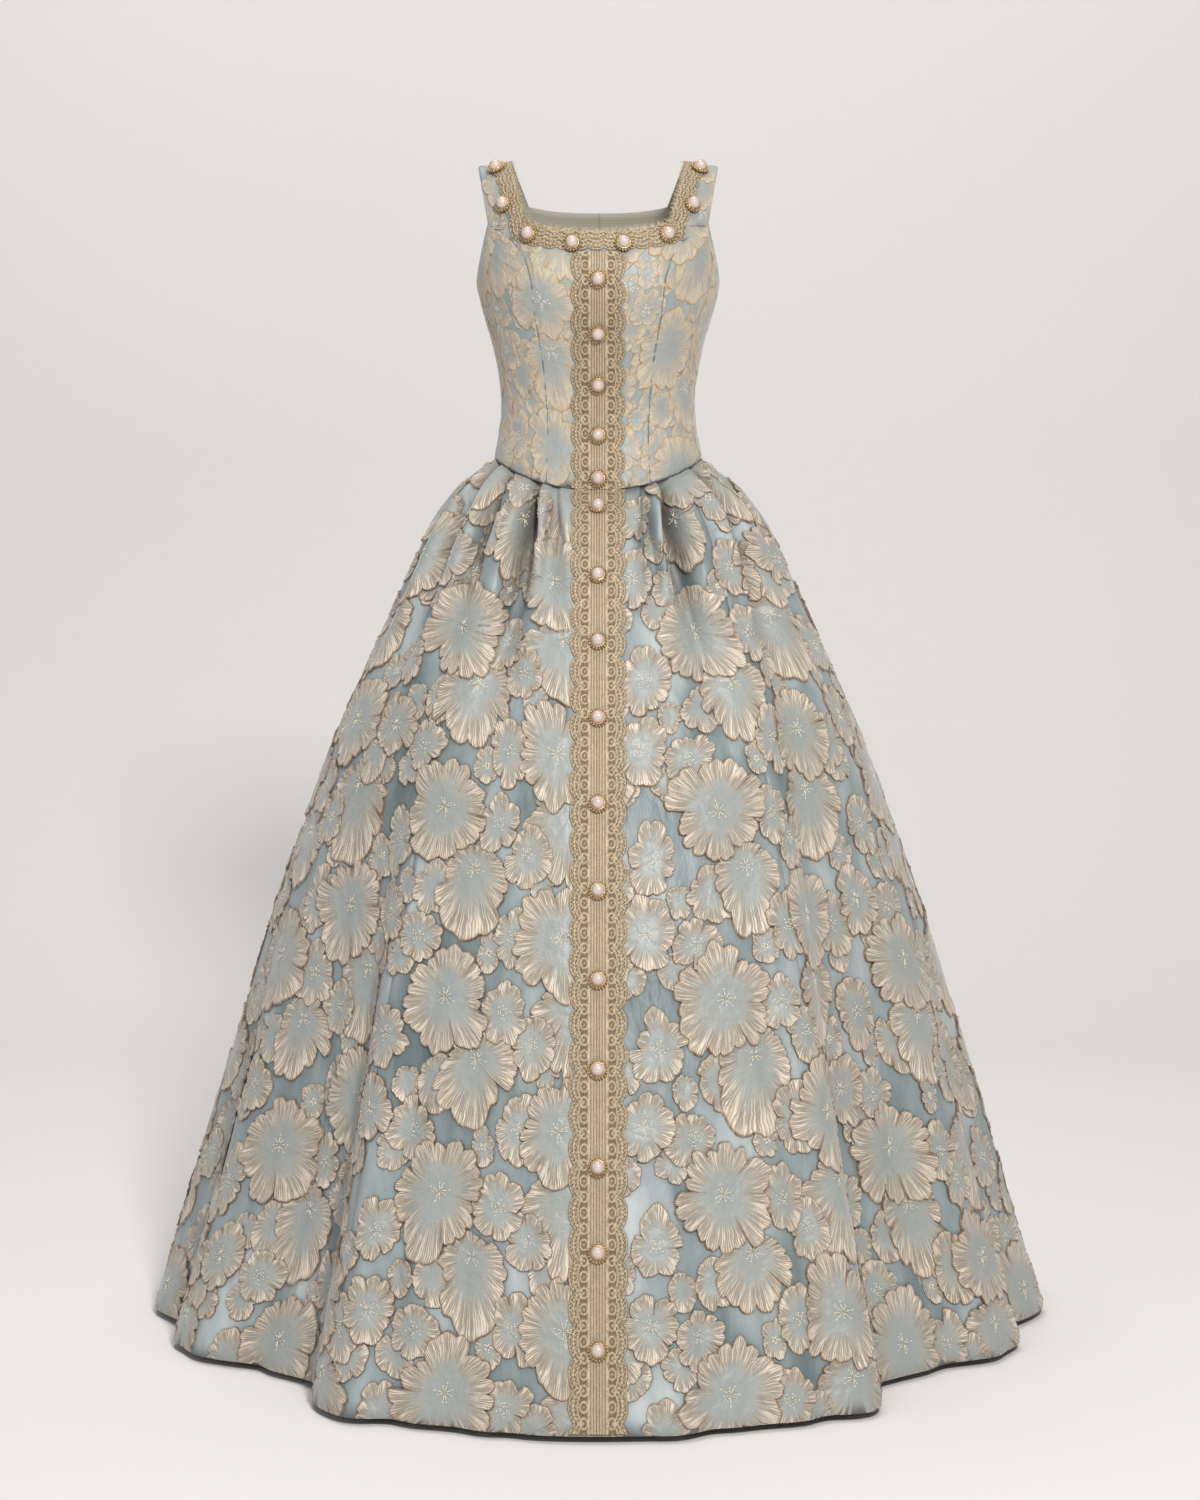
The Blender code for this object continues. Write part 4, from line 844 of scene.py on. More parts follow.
def bloomColumns(bloom):
    # the outline, by columns: uneven petals, each with a few folds of its edge, all of it gathered
    # into scallops of about 10 mm
    profile = profiles[bloom["kind"]]
    petals = bloom["petals"]
    shares = 1 + random.uniform(-0.32, 0.32, petals)
    edges = np.concatenate([[0], np.cumsum(shares / shares.sum())]) * 2 * np.pi + bloom["turn"]
    wide, high, rise = bloom["wide"], bloom["high"], bloom["heart"]
    slow = random.uniform(0, 6.28, 2)
    columns = []
    for petal in range(petals):
        start, end = edges[petal], edges[petal + 1]
        size = random.uniform(0.84, 1.12)
        notch = random.choice([0.10, 0.16, 0.24, 0.34])
        slant = random.uniform(-0.13, 0.13)
        tip, pointed = random.uniform(0.25, 0.75), random.choice([0.0, 0.05, 0.10])
        arc = (wide + high) / 2 * (end - start)
        count = max(2, round(arc / profile["pitch"]))
        folds = max(1, round(arc / bloomLook["foldPitch"]))
        foldDeep = random.uniform(0.03, 0.17, folds + 1)
        for scallop in range(count):
            dip, puff = random.uniform(0.2, 1.5), random.uniform(0.75, 1.25)
            # four columns to a scallop: the share of the way along it, and how much of its valley is there
            for place, valley in ((0.0, 1.0), (0.22, 0.28), (0.5, 0.0), (0.78, 0.28)):
                within = (scallop + place) / count
                angle = start + (end - start) * within
                lobe = 1 - notch * (1 - math.sin(math.pi * max(within, 0.008)) ** 0.38)
                fold = abs(math.sin(math.pi * folds * within)) ** 0.6
                lobe -= foldDeep[int(folds * within + 0.5)] * (1 - fold) * min(1, 6 * within, 6 - 6 * within)
                lobe *= size * (1 + slant * (2 * within - 1))
                lobe *= 1 + pointed * math.exp(-((within - tip) / 0.13) ** 2)
                lobe *= 1 + 0.035 * math.sin(2 * angle + slow[0]) + 0.03 * math.sin(3 * angle + slow[1])
                inner = math.cos(angle) ** 2 / wide ** 2 + math.sin(angle) ** 2 / high ** 2
                tilt = rise * math.sin(angle) / high
                reach = (tilt + math.sqrt(tilt ** 2 + inner * (1 - rise ** 2))) / inner
                reach = reach * lobe - bloomLook["scallopDeep"] * dip * valley * (1 if bloom["big"] else 0.75)
                columns.append((angle, reach, petal + within, within, valley, puff))
    angle, reach, _, within, valley, puff = columns[0]
    columns.append((angle + 2 * math.pi, reach, petals, 0.0, valley, puff))
    bloom["columns"] = np.array(columns)


def reachAt(bloom, angle):
    # how far the bloom's outline is from its heart
    columns = bloom["columns"]
    start = columns[0, 0]
    return np.interp((angle - start) % (2 * np.pi) + start, columns[:, 0], columns[:, 1])


gridTemplates = {}


def bloomTemplate(kind, count):
    # rows out from the heart: each vertex's row and column, and the faces
    if (kind, count) not in gridTemplates:
        profile = profiles[kind]
        inner, outer = profile["cut"], len(profile["rows"]) - profile["cut"]
        half, full = count // 2 + 1, count + 1
        rows = np.concatenate([np.repeat(np.arange(inner), half),
                               np.repeat(np.arange(inner, inner + outer), full)])
        columns = np.concatenate([np.tile(np.arange(half) * 2, inner), np.tile(np.arange(full), outer)])
        k = np.arange(half - 1)
        faces = []
        for row in range(inner - 1):
            a = row * half + k
            faces.append(np.stack([a, a + 1, a + half + 1, a + half], 1))
        a = (inner - 1) * half + k
        c = inner * half + 2 * k
        faces.append(np.stack([a, a + 1, c + 2, c + 1], 1))
        corners = np.stack([a, c + 1, c, c], 1)
        k = np.arange(full - 1)
        for row in range(outer - 1):
            a = inner * half + row * full + k
            faces.append(np.stack([a, a + 1, a + full + 1, a + full], 1))
        gridTemplates[kind, count] = rows, columns, np.concatenate(faces + [corners])
    return gridTemplates[kind, count]


def fieldSearch(field, i, j, across, down):
    # where one gets to on the cloth by going this far down and then this far across
    lengths, spans = field["down"], field["across"]
    none = np.zeros(down.shape)
    row = halving(lambda middle: lookUp(lengths, middle, j), lookUp(lengths, i, j) + down,
                  none, none + lengths.shape[0] - 1.0, 18)
    column = halving(lambda middle: lookUp(spans, row, middle), lookUp(spans, row, j) + across,
                     none, none + spans.shape[1] - 1.0, 20)
    return row, column


def placeBlooms(field, tiles, scale=1.0, grown=1.0, pleatedTo=-1.0):
    # tiles: how far down each row of repeats starts, repeats to each side, and its shift across;
    # blooms that start above pleatedTo bend with the pleats
    placed = []
    rows, columns = field["down"].shape
    middle = columns // 2
    for startDown, count, shift in tiles:
        for tile in range(-count, count + 1):
            for across, down, wide, high, petals, turn, order, heart in bloomTable:
                y = startDown + down * scale
                if y < -high or y > field["down"][-1, middle] + high:
                    continue
                i = np.interp(y, field["down"][:, middle], np.arange(rows))
                line = lookUp(field["across"], np.full(columns, i), np.arange(columns, dtype=float))
                line = line - line[middle]
                x = (tile * repeatWide + across + shift) * scale
                if not line[0] < x < line[-1]:
                    continue
                size = scale * grown * random.uniform(0.95, 1.05)
                bloom = {"i": float(i), "j": float(np.interp(x, line, np.arange(columns))),
                         "wide": wide * size, "high": high * size, "petals": petals, "heart": heart,
                         "turn": math.radians(turn) + random.uniform(-0.15, 0.15),
                         "order": order + random.uniform(0, 0.2), "seed": random.uniform(0, 6.28),
                         "big": wide > 0.03, "warm": random.uniform(0, 1)}
                bloom["kind"] = ("large" if bloom["big"] else "small") + ("Pleated" if y < pleatedTo else "")
                # the heart is the middle of the fans
                i, j = fieldSearch(field, np.array([bloom["i"]]), np.array([bloom["j"]]), np.zeros(1),
                                   np.array([-heart * bloom["high"]]))
                bloom["i"], bloom["j"] = float(i[0]), float(j[0])
                bloomColumns(bloom)
                placed.append(bloom)
    return placed


def bloomShape(field, bloom):
    # where the bloom's points come on the cloth, and how high they rise from it
    profile = np.array(profiles[bloom["kind"]]["rows"])
    rows, columns, _ = bloomTemplate(bloom["kind"], len(bloom["columns"]) - 1)
    angle, reach, fan, within, valley, puff = bloom["columns"][columns].T
    out = profile[rows, 0]
    # the scallops fade towards the heart
    smoothReach = reach + (1 - ease(out, 0.6, 0.95)) * bloomLook["scallopDeep"] * valley
    across, down = out * smoothReach * np.cos(angle), out * smoothReach * np.sin(angle)
    i, j = fieldSearch(field, np.full(out.shape, bloom["i"]), np.full(out.shape, bloom["j"]), across, down)
    crest = ease(out, 0.74, 0.92)
    height = profile[rows, 1] * (1 + crest * (puff - 1 - 0.30 * valley))
    edge = np.abs(within - 0.5) * 2
    height += bloomLook["petalStep"] * (within - 0.5) * ease(out, 0.25, 0.6) * (1 - ease(out, 0.97, 1.0))
    lapped = np.exp(-(((1 - edge) / 0.10) ** 2)) * ease(out, 0.3, 0.6) * (1 - ease(out, 0.95, 1))
    height += bloomLook["foldLift"] * lapped
    height += bloomLook["orderLift"] * max(bloom["order"], 0) * (1 - 0.6 * ease(out, 0.98, 1.0))
    bloom["facts"] = {"i": i, "j": j, "height": height * field["rise"] / 1000, "fan": fan, "within": within,
                      "out": out}


def settle(field, blooms, hidden):
    # a bloom lies flat where another covers it, and under the lace, and at the cloth's edges
    spots = np.array([lookUp(field["points"], np.array([b["i"]]), np.array([b["j"]]))[0] for b in blooms])
    for k, bloom in enumerate(blooms):
        facts = bloom["facts"]
        i, j = facts["i"], facts["j"]
        points = lookUp(field["points"], i, j)
        cover, under = hidden(points, i, j), np.zeros(i.shape)
        near = np.linalg.norm(spots - spots[k], axis=1)
        for other in np.nonzero(near < bloomLook["overlapReach"])[0]:
            upper = blooms[other]
            if other == k or upper["order"] <= bloom["order"]:
                continue
            column = np.full(i.shape, upper["j"])
            x = lookUp(field["across"], i, j) - lookUp(field["across"], i, column)
            y = lookUp(field["down"], i, column)
            y = y - lookUp(field["down"], np.full(i.shape, upper["i"]), column)
            reach = reachAt(upper, np.arctan2(y, x))
            under = np.maximum(under, 1 - ease(np.hypot(x, y) / reach, 0.92, 1.02))
        facts["under"], cover = under, np.maximum(cover, under)
        facts["height"] = facts["height"] * (1 - cover) + bloomLook["pressed"] * cover
        facts["points"] = points + lookUp(field["normals"], i, j) * facts["height"][:, None]
        # on the bodice and the straps only some of the hearts are worked
        worked = field["rise"] > bodiceRise or bloom["warm"] < 0.4
        facts["heartShows"] = cover[0] < 0.2 and bloom["petals"] > 3 and worked


def stamens(field, bloom):
    # a knotted star of short threads at a large heart, a ring of knots at a small one
    arms = 8 if bloom["big"] else 9
    longest = 0.0118 if bloom["big"] else min(bloom["wide"], bloom["high"]) * 0.30
    faces, local = [], []
    tilt, rise = bloom["seed"], field["rise"]
    lift = 0.0009 * rise + bloom["facts"]["height"][0]
    for arm in range(arms):
        angle = tilt + 2 * math.pi * (arm + 0.25 * math.sin(3 * arm + tilt)) / arms
        long = longest * (0.62 + 0.42 * math.sin(5 * arm + 2 * tilt) ** 2)
        # from, to and half width: a thread with a knot at its end, or a knot with a short thread inside
        if bloom["big"]:
            strokes = [(0.08 * long, long * 0.9, 0.00062), (long * 0.84, long * 1.10, 0.0011)]
        else:
            strokes = [(long * 1.10 - 0.0022, long * 1.10, 0.0011), (0.3 * long, 0.62 * long, 0.0008)]
        c, s = math.cos(angle), math.sin(angle)
        for near, far, half in strokes:
            ring = [(near, 0), ((near + far) / 2, half), (far, 0), ((near + far) / 2, -half)]
            start = len(local)
            local += [(r * c - w * s, r * s + w * c, -0.0006 * rise) for r, w in ring]
            local.append(((near + far) / 2 * c, (near + far) / 2 * s, 0.0008 * rise))
            faces += [[start + (a + 1) % 4, start + a, start + 4] for a in range(4)]
    local = np.array(local)
    i, j = (np.full(len(local), bloom[key]) for key in ("i", "j"))
    i, j = fieldSearch(field, i, j, local[:, 0], local[:, 1])
    high = (lift + local[:, 2])[:, None]
    return lookUp(field["points"], i, j) + lookUp(field["normals"], i, j) * high, faces


def buildBlooms(name, field, blooms, petalMaterial):
    # one piece of many blooms, with each petal's own directions in "petal" and its tones in "bloom"
    vertices, faces, kinds, fans, colours = [], [], [], [], []
    count = 0
    for bloom in blooms:
        facts = bloom["facts"]
        template = bloomTemplate(bloom["kind"], len(bloom["columns"]) - 1)[2]
        points = facts["points"]
        a, b, c, d = (points[template[:, k]] for k in range(4))
        # cells pressed flat against the hem or the waist seam are left out, and those that lie
        # wholly under another bloom
        across = np.where((template[:, 2] == template[:, 3])[:, None], b - a, d - b)
        shows = np.linalg.norm(np.cross(c - a, across), axis=1) > bloomLook["flatCell"]
        kept = template[shows & (facts["under"][template].min(axis=1) < bloomLook["covered"])]
        for face in kept + count:
            faces.append(face[:3].tolist() if face[2] == face[3] else face.tolist())
        kinds += [0] * len(kept)
        circumference = np.pi * (bloom["wide"] + bloom["high"])
        veins = max(5, round(circumference / bloom["petals"] / bloomLook["veinPitch"]))
        fans.append(np.stack([facts["fan"] * veins, facts["out"]], -1))
        strength = np.random.default_rng(int(bloom["seed"] * 1000)).uniform(0.1, 1, bloom["petals"] + 1)
        nearest = np.round(facts["fan"]).astype(int) % bloom["petals"]
        colours.append(np.stack([np.abs(facts["within"] - 0.5) * 2, np.full(len(points), bloom["warm"]),
                                 strength[nearest], np.ones(len(points))], -1))
        vertices.append(points)
        count += len(points)
        if facts["heartShows"]:
            points, threads = stamens(field, bloom)
            faces += [[k + count for k in face] for face in threads]
            kinds += [1] * len(threads)
            vertices.append(points)
            fans.append(np.zeros((len(points), 2)))
            colours.append(np.ones((len(points), 4)))
            count += len(points)
    piece = makePiece(name, np.concatenate(vertices), faces, [petalMaterial, silk], kinds)
    cornerValues(piece, "petal", np.concatenate(fans))
    layer = piece.data.attributes.new("bloom", "FLOAT_COLOR", "POINT")
    layer.data.foreach_set("color", np.concatenate(colours).astype(np.float32).ravel())
    return piece


skirtColumns = np.linspace(-180, 180, 1441)
skirtStep = skirtColumns[1] - skirtColumns[0]
frontColumn = len(skirtColumns) // 2
skirtDowns = np.linspace(0, 1, 261)
skirtField = fineGrid(skirtPoint(skirtColumns[None, :], skirtDowns[:, None]), rise=1.0)
skirtTiles = [(0.012, 3, 0.128), (0.224, 4, 0.132), (0.436, 5, 0.140), (0.648, 6, 0.146), (0.860, 6, 0.142),
              (1.072, 6, 0.150)]
# flowers lie flat under the lace, within these distances from the front's middle and the neckline
bandHalf, neckLaceDeep, neckLaceHalf = 0.031, 0.022, 0.107


def underFrontBand(points):
    fromMiddle = np.abs(points[..., 0])
    return (1 - ease(fromMiddle, bandHalf - 0.002, bandHalf + 0.004)) * (points[..., 1] < 0)


def hiddenOnSkirt(points, i, j):
    angle = np.abs(skirtColumns[0] + j * skirtStep)
    length = lookUp(skirtField["down"], i, j)
    whole = lookUp(skirtField["down"], np.full(i.shape, float(len(skirtDowns) - 1)), j)
    atHem = 1 - ease(whole - length, 0.001, 0.008)
    atWaist = 1 - ease(length, 0.001, 0.010)
    atBack = ease(angle, 179.0, 179.8)
    return np.maximum.reduce([underFrontBand(points), atHem, atWaist, atBack])


skirtBlooms = placeBlooms(skirtField, skirtTiles, grown=1.10, pleatedTo=0.20)
for bloom in skirtBlooms:
    bloomShape(skirtField, bloom)
settle(skirtField, skirtBlooms, hiddenOnSkirt)
for hand, side in ((-1, "right"), (1, "left")):
    for k, word in enumerate(gore["words"]):
        first, last = sorted((hand * gore["edges"][k], hand * gore["edges"][k + 1]))
        here = [b for b in skirtBlooms if first <= skirtColumns[0] + b["j"] * skirtStep < last]
        name = "skirt" + word.title() + side.title()
        buildBlooms(name + "Blossoms", skirtField, here, skirtFlower)


# the bodice as one round, from the waist up to the neckline and the armholes
def bodiceTop(angle):
    size = np.abs(angle)
    tops = np.empty(size.shape)
    for face in ("front", "back"):
        turned = size if face == "front" else 180 - size
        mine = turned <= 90 if face == "front" else turned < 90
        notchWide = section(rowAtHeight(cut["notch" + face.title()]))[1]
        notchTurn = np.degrees(np.arcsin((cut["notchX"] / notchWide) ** (1 / cut["squareness"])))
        x = notchWide * np.sin(np.radians(np.clip(turned, 0, 90))) ** cut["squareness"]
        across = np.clip((turned - notchTurn) / (90 - notchTurn), 0, 1)
        high = np.where(turned > notchTurn, armholeHeight(across, face), necklineHeight(x, face))
        tops = np.where(mine, high, tops)
    return tops


bodiceColumns = np.linspace(-180, 180, 721)
bodiceStep = bodiceColumns[1] - bodiceColumns[0]
bodiceUps = np.linspace(1, 0, 120)
low = waistHeight(bodiceColumns) + cut["waistGap"] / 2
high = bodiceTop(bodiceColumns)
bodiceField = fineGrid(bodiceRound(bodiceColumns[None, :],
                                   rowAtHeight(low + (high - low) * bodiceUps[:, None])), rise=bodiceRise)
bodiceTiles = [(-0.02, 2, 0.120), (0.158, 2, 0.105), (0.336, 2, 0.125)]
bodiceFillers = [(0.03, 4, 0.02), (0.16, 4, 0.11), (0.29, 4, 0.05)]


def hiddenOnBodice(points, i, j):
    front = points[..., 1] < 0
    length = lookUp(bodiceField["down"], i, j)
    whole = lookUp(bodiceField["down"], np.full(i.shape, float(len(bodiceUps) - 1)), j)
    underLace = 1 - ease(length, neckLaceDeep, neckLaceDeep + 0.006)
    underLace = underLace * front * (np.abs(points[..., 0]) < neckLaceHalf)
    atEdge = 1 - ease(np.minimum(length, whole - length), 0.0005, 0.006)
    seam = np.where(front, seamX(points[..., 2], "front"), seamX(points[..., 2], "back"))
    atSeam = 1 - ease(np.abs(np.abs(points[..., 0]) - seam), 0.0006, 0.0030)
    return np.maximum.reduce([underFrontBand(points), underLace, atEdge, atSeam])


bodiceBlooms = placeBlooms(bodiceField, bodiceTiles, scale=0.84)
for bloom in placeBlooms(bodiceField, bodiceFillers, scale=0.62):
    bloom["order"] -= 6  # the fillers lie under all the others
    bodiceBlooms.append(bloom)
for bloom in bodiceBlooms:
    bloomShape(bodiceField, bloom)
settle(bodiceField, bodiceBlooms, hiddenOnBodice)
for face in ("front", "back"):
    for hand, side in ((-1, "right"), (1, "left")):
        here = []
        for bloom in bodiceBlooms:
            angle = bodiceColumns[0] + bloom["j"] * bodiceStep
            if (abs(angle) < 90) == (face == "front") and (angle >= 0) == (hand > 0):
                here.append(bloom)
        name = "bodice" + face.title() + "Centre" + side.title()
        buildBlooms(name + "Blossoms", bodiceField, here, bodiceFlower)

# the straps, from the shoulder line down to the corner of the neckline
strapRows, strapColumns = 50, 24
strapTiles = [(0.0, 1, 0.02), (0.07, 1, 0.15), (0.12, 1, -0.13)]
for face in ("front", "back"):
    corner = float(rowAtHeight(cut["corner" + face.title()] - 0.005))
    rows = np.linspace(topRow, corner, strapRows)[:, None]
    here, bottom = section(rows)[0], section(corner)[0]
    risen = (here - bottom) / (shoulderHeight - bottom)
    inner, outer = strapEdges(risen)
    x = inner + (outer - inner) * np.linspace(0, 1, strapColumns)[None, :]
    points = bodicePoint(x, rows, face)
    for hand, side in ((-1, "right"), (1, "left")):
        turned = hand * (1 if face == "front" else -1)
        grid = points * (hand, 1, 1)
        grid = grid if turned > 0 else grid[:, ::-1]
        strapField = fineGrid(grid, rise=bodiceRise)
        blooms = placeBlooms(strapField, strapTiles, scale=0.7)

        def hiddenOnStrap(points, i, j):
            span = lookUp(strapField["across"], i, j)
            whole = lookUp(strapField["across"], i, np.full(i.shape, strapColumns - 1.0))
            length = lookUp(strapField["down"], i, j)
            atEdge = 1 - ease(np.minimum.reduce([span, whole - span, length + 0.002]), 0.0004, 0.004)
            fromNeck = span if hand > 0 else whole - span
            underLace = (1 - ease(fromNeck, 0.026, 0.029)) if face == "front" else 0 * span
            return np.maximum(atEdge, underLace)

        for bloom in blooms:
            bloomShape(strapField, bloom)
        settle(strapField, blooms, hiddenOnStrap)
        buildBlooms("strap" + face.title() + side.title() + "Blossoms", strapField, blooms, bodiceFlower)

# the princess seams: a sunk line of matching thread down each, coloured dark as painted shade in the seam
seamLine = {"rows": 90, "across": np.array([-0.00075, 0, 0.00075]),
            "high": np.array([0.0001, 0.00045, 0.0001])}
seamVertices, seamFaces = [], []
for face in ("front", "back"):
    up = np.linspace(0, 1, seamLine["rows"])[:, None]
    height = seamHeight(up, face)
    line = seamX(height, face)
    for hand in (-1, 1):
        x = line + seamLine["across"][None, :]
        row = rowAtHeight(np.broadcast_to(height, x.shape))
        points = bodicePoint(x, row, face) + bodiceNormals(x, row, face) * seamLine["high"][None, :, None]
        start = len(seamVertices)
        seamVertices += list((points * (hand, 1, 1)).reshape(-1, 3))
        seamFaces += gridFaces(seamLine["rows"], 3, start, flip=(hand > 0) != (face == "front"))
seamPiece = makePiece("princessSeamThreadAndShade", seamVertices, seamFaces, [seamThreadAndShade])


print("stage: lace")
laceCut = {"half": 0.0318, "scallopDeep": 0.0080, "pitch": 0.034, "step": 0.0013, "across": 54,
           "lift": 0.0006, "ribs": 0.0031, "ribHalf": 0.0093, "cords": (0.0009, 0.0062, 0.0104),
           "cordHalf": 0.00075, "braid": 0.0032, "loop": 0.0046, "loopHigh": 0.0040, "loopHalf": 0.0008,
           "ringIn": 0.0058, "ringLong": 0.0058, "ringWide": 0.0042, "netLong": 0.0040, "netWide": 0.0042,
           "picot": 0.0006, "picotPitch": 0.0042, "thick": 0.0005, "relief": 0.0013, "holeDeep": 0.0004,
           "neckCords": (0.0009, 0.0062, 0.0112, 0.0165, 0.0215, 0.0262)}


def laceRelief(fromMiddle, fromEdge, along, ribHalf, rows):
    # height in metres, and how open the work is there
    braid = 0.80 + 0.20 * np.sin(2 * np.pi * along / laceCut["braid"] + fromEdge * 900)
    relief = np.zeros(np.broadcast(fromEdge, along).shape)
    for place in rows:
        relief = np.maximum(relief, np.exp(-(((fromEdge - place) / laceCut["cordHalf"]) ** 2)) * braid)
    # loops between the cords
    for k, place in enumerate(rows[:-1]):
        bow = np.abs(np.sin(np.pi * (along / laceCut["loop"] + k / 2)))
        arch = place + 0.0004 + laceCut["loopHigh"] * bow
        relief = np.maximum(relief, 0.9 * np.exp(-(((fromEdge - arch) / laceCut["loopHalf"]) ** 2)))
    # a row of rings further in, two to a scallop
    turn = (along / laceCut["pitch"] * 2 + 0.5) % 1.0 - 0.5
    ring = np.hypot(turn * laceCut["pitch"] / 2 / laceCut["ringLong"],
                    (np.abs(fromMiddle) - ribHalf - laceCut["ringIn"]) / laceCut["ringWide"])
    ringed = ribHalf > 0
    relief = np.maximum(relief, 0.95 * np.exp(-(((ring - 0.95) / 0.16) ** 2)) * ringed)
    relief = np.maximum(relief, 0.6 * np.exp(-((ring / 0.28) ** 2)) * ringed)
    ribs = np.cos(np.pi * fromMiddle / laceCut["ribs"]) ** 2 * (np.abs(fromMiddle) < ribHalf)
    braidEdge = np.exp(-(((np.abs(fromMiddle) - ribHalf - 0.0010) / 0.0009) ** 2)) * braid * ringed
    relief = np.maximum.reduce([relief, 0.85 * ribs, braidEdge])
    between = (np.abs(fromMiddle) > ribHalf + 0.002) * (1 - relief)
    net = np.sin(2 * np.pi * along / laceCut["netLong"])
    net = net * np.sin(2 * np.pi * fromEdge / laceCut["netWide"] + 0.9)
    holes = ease(net, 0.1, 0.6) * ease(between, 0.45, 0.8)
    return laceCut["thick"] + laceCut["relief"] * relief - laceCut["holeDeep"] * holes, relief, holes


def laceStrip(name, points, normals, fromMiddle, fromEdge, along, ribHalf, rows=laceCut["cords"]):
    height, relief, holes = laceRelief(fromMiddle, fromEdge, along, ribHalf, rows)
    long, columns = points.shape[:2]
    top = points + normals * (laceCut["lift"] + height)[..., None]
    foot = points + normals * laceCut["lift"] * 0.4
    # the edge turns down to the cloth on every side
    grid = np.pad(top, ((1, 1), (1, 1), (0, 0)), mode="edge")
    turnedDown = np.pad(foot, ((1, 1), (1, 1), (0, 0)), mode="edge")
    for a in (0, -1):
        grid[a], grid[:, a] = turnedDown[a], turnedDown[:, a]
    faces = np.array(gridFaces(long + 2, columns + 2))
    flat = grid.reshape(-1, 3)
    middle = faces[len(faces) // 2 + columns // 2]
    facing = np.cross(flat[middle[1]] - flat[middle[0]], flat[middle[3]] - flat[middle[0]])
    if facing @ normals[long // 2, columns // 2] < 0:
        faces = faces[:, ::-1]
    piece = makePiece(name, flat, faces.tolist(), [galloon])
    layer = piece.data.attributes.new("cord", "FLOAT_COLOR", "POINT")
    shade = np.stack([relief, holes, relief, np.ones((long, columns))], -1)
    shade = np.pad(shade, ((1, 1), (1, 1), (0, 0)), mode="edge")
    layer.data.foreach_set("color", shade.astype(np.float32).ravel())
    return piece


def frontBand(name, pointsAt, length):
    # pointsAt gives points and normals at distances down the band and from its middle
    along = np.linspace(0, length, round(length / laceCut["step"]))[:, None]
    phase = (along / laceCut["pitch"]) % 1.0
    picots = laceCut["picot"] * np.abs(np.sin(np.pi * along / laceCut["picotPitch"]))
    half = laceCut["half"] - laceCut["scallopDeep"] * (1 - np.sqrt(np.abs(np.sin(np.pi * phase)))) + picots
    share = np.linspace(-1, 1, laceCut["across"])[None, :]
    x = share * half
    points, normals = pointsAt(along + 0 * x, x)
    return laceStrip(name, points, normals, x, half - np.abs(x), along + 0 * x, laceCut["ribHalf"])


def onSkirtFront(along, x):
    row = np.interp(along, skirtField["down"][:, frontColumn], np.arange(len(skirtDowns)))
    column = halving(lambda middle: lookUp(skirtField["points"], row, middle)[..., 0], x,
                     np.full(x.shape, frontColumn - 100.0), np.full(x.shape, frontColumn + 100.0), 22)
    return lookUp(skirtField["points"], row, column), lookUp(skirtField["normals"], row, column)


neckLace = {"wide": 0.023, "strapWide": 0.027, "cornerWide": 0.020, "edge": 0.0006, "cornerCut": 0.004,
            "strapSteps": 60, "cornerSteps": 16, "frontSteps": 62, "step": 0.0014, "across": 24,
            "scallop": 0.0175, "scallopDeep": 0.17}
bandTop = cut["neckFront"] - neckLace["wide"] - 0.0012
bandBottom = cut["waistFront"] + 0.0006
bandRows = rowAtHeight(np.linspace(bandTop, bandBottom, 400))
bandLine = bodicePoint(np.zeros(len(bandRows)), bandRows, "front")
bandSteps = np.concatenate([[0], np.cumsum(np.linalg.norm(np.diff(bandLine, axis=0), axis=1))])


def onBodiceFront(along, x):
    # the lower end follows the waist seam's curve
    row = np.interp(along, bandSteps, bandRows)
    lowest = rowAtHeight(np.interp(np.abs(x), *waistLines["front"]) + cut["waistGap"])
    row = np.maximum(row, lowest)
    return bodicePoint(x, row, "front"), bodiceNormals(x, row, "front")


bodiceBand = frontBand("laceBandBodice", onBodiceFront, bandSteps[-1])
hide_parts("lace_band_bodice")
skirtLength = skirtField["down"][-1, frontColumn] - 0.002
skirtBand = frontBand("laceBandSkirt", onSkirtFront, skirtLength)
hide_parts("lace_band_skirt")


def strapX(row):
    height, bottom = section(row)[0], cut["cornerFront"]
    return strapEdges(np.clip((height - bottom) / (shoulderHeight - bottom), 0, 1))[0]


def neckPath():
    # inner and outer edges of the lace as (distance from the centre line, row), left half:
    # down the strap, round the corner, and in to the middle of the front
    cornerRow = float(rowAtHeight(cut["cornerFront"]))
    share = np.linspace(1, 0, neckLace["strapSteps"])[:-1]
    row = cornerRow + 0.03 + (topRow - 0.03 - cornerRow) * share
    wide = neckLace["cornerWide"] + (neckLace["strapWide"] - neckLace["cornerWide"]) * share
    inner = [np.stack([strapX(row) + neckLace["edge"], row], -1)]
    outer = [np.stack([strapX(row) + neckLace["edge"] + wide, row], -1)]
    lowX = cut["cornerX"] + neckLace["cornerWide"] - neckLace["cornerCut"]
    share = np.linspace(0, 1, neckLace["cornerSteps"])[:-1]
    x = outer[0][-1, 0] + (lowX - outer[0][-1, 0]) * share
    inner.append(np.stack([np.full(share.shape, cut["cornerX"]), cornerRow - 0.01 * share], -1))
    outer.append(np.stack([x, rowAtHeight(cut["cornerFront"] - neckLace["wide"] * share)], -1))
    share = np.linspace(1, 0, neckLace["frontSteps"])
    x = cut["cornerX"] * share
    inner.append(np.stack([x, rowAtHeight(necklineHeight(x, "front") - neckLace["edge"])], -1))
    low = cut["cornerFront"] - neckLace["wide"] - (cut["cornerFront"] - cut["neckFront"]) * (1 - share ** 3)
    outer.append(np.stack([lowX * share, rowAtHeight(low)], -1))
    return np.concatenate(inner), np.concatenate(outer)


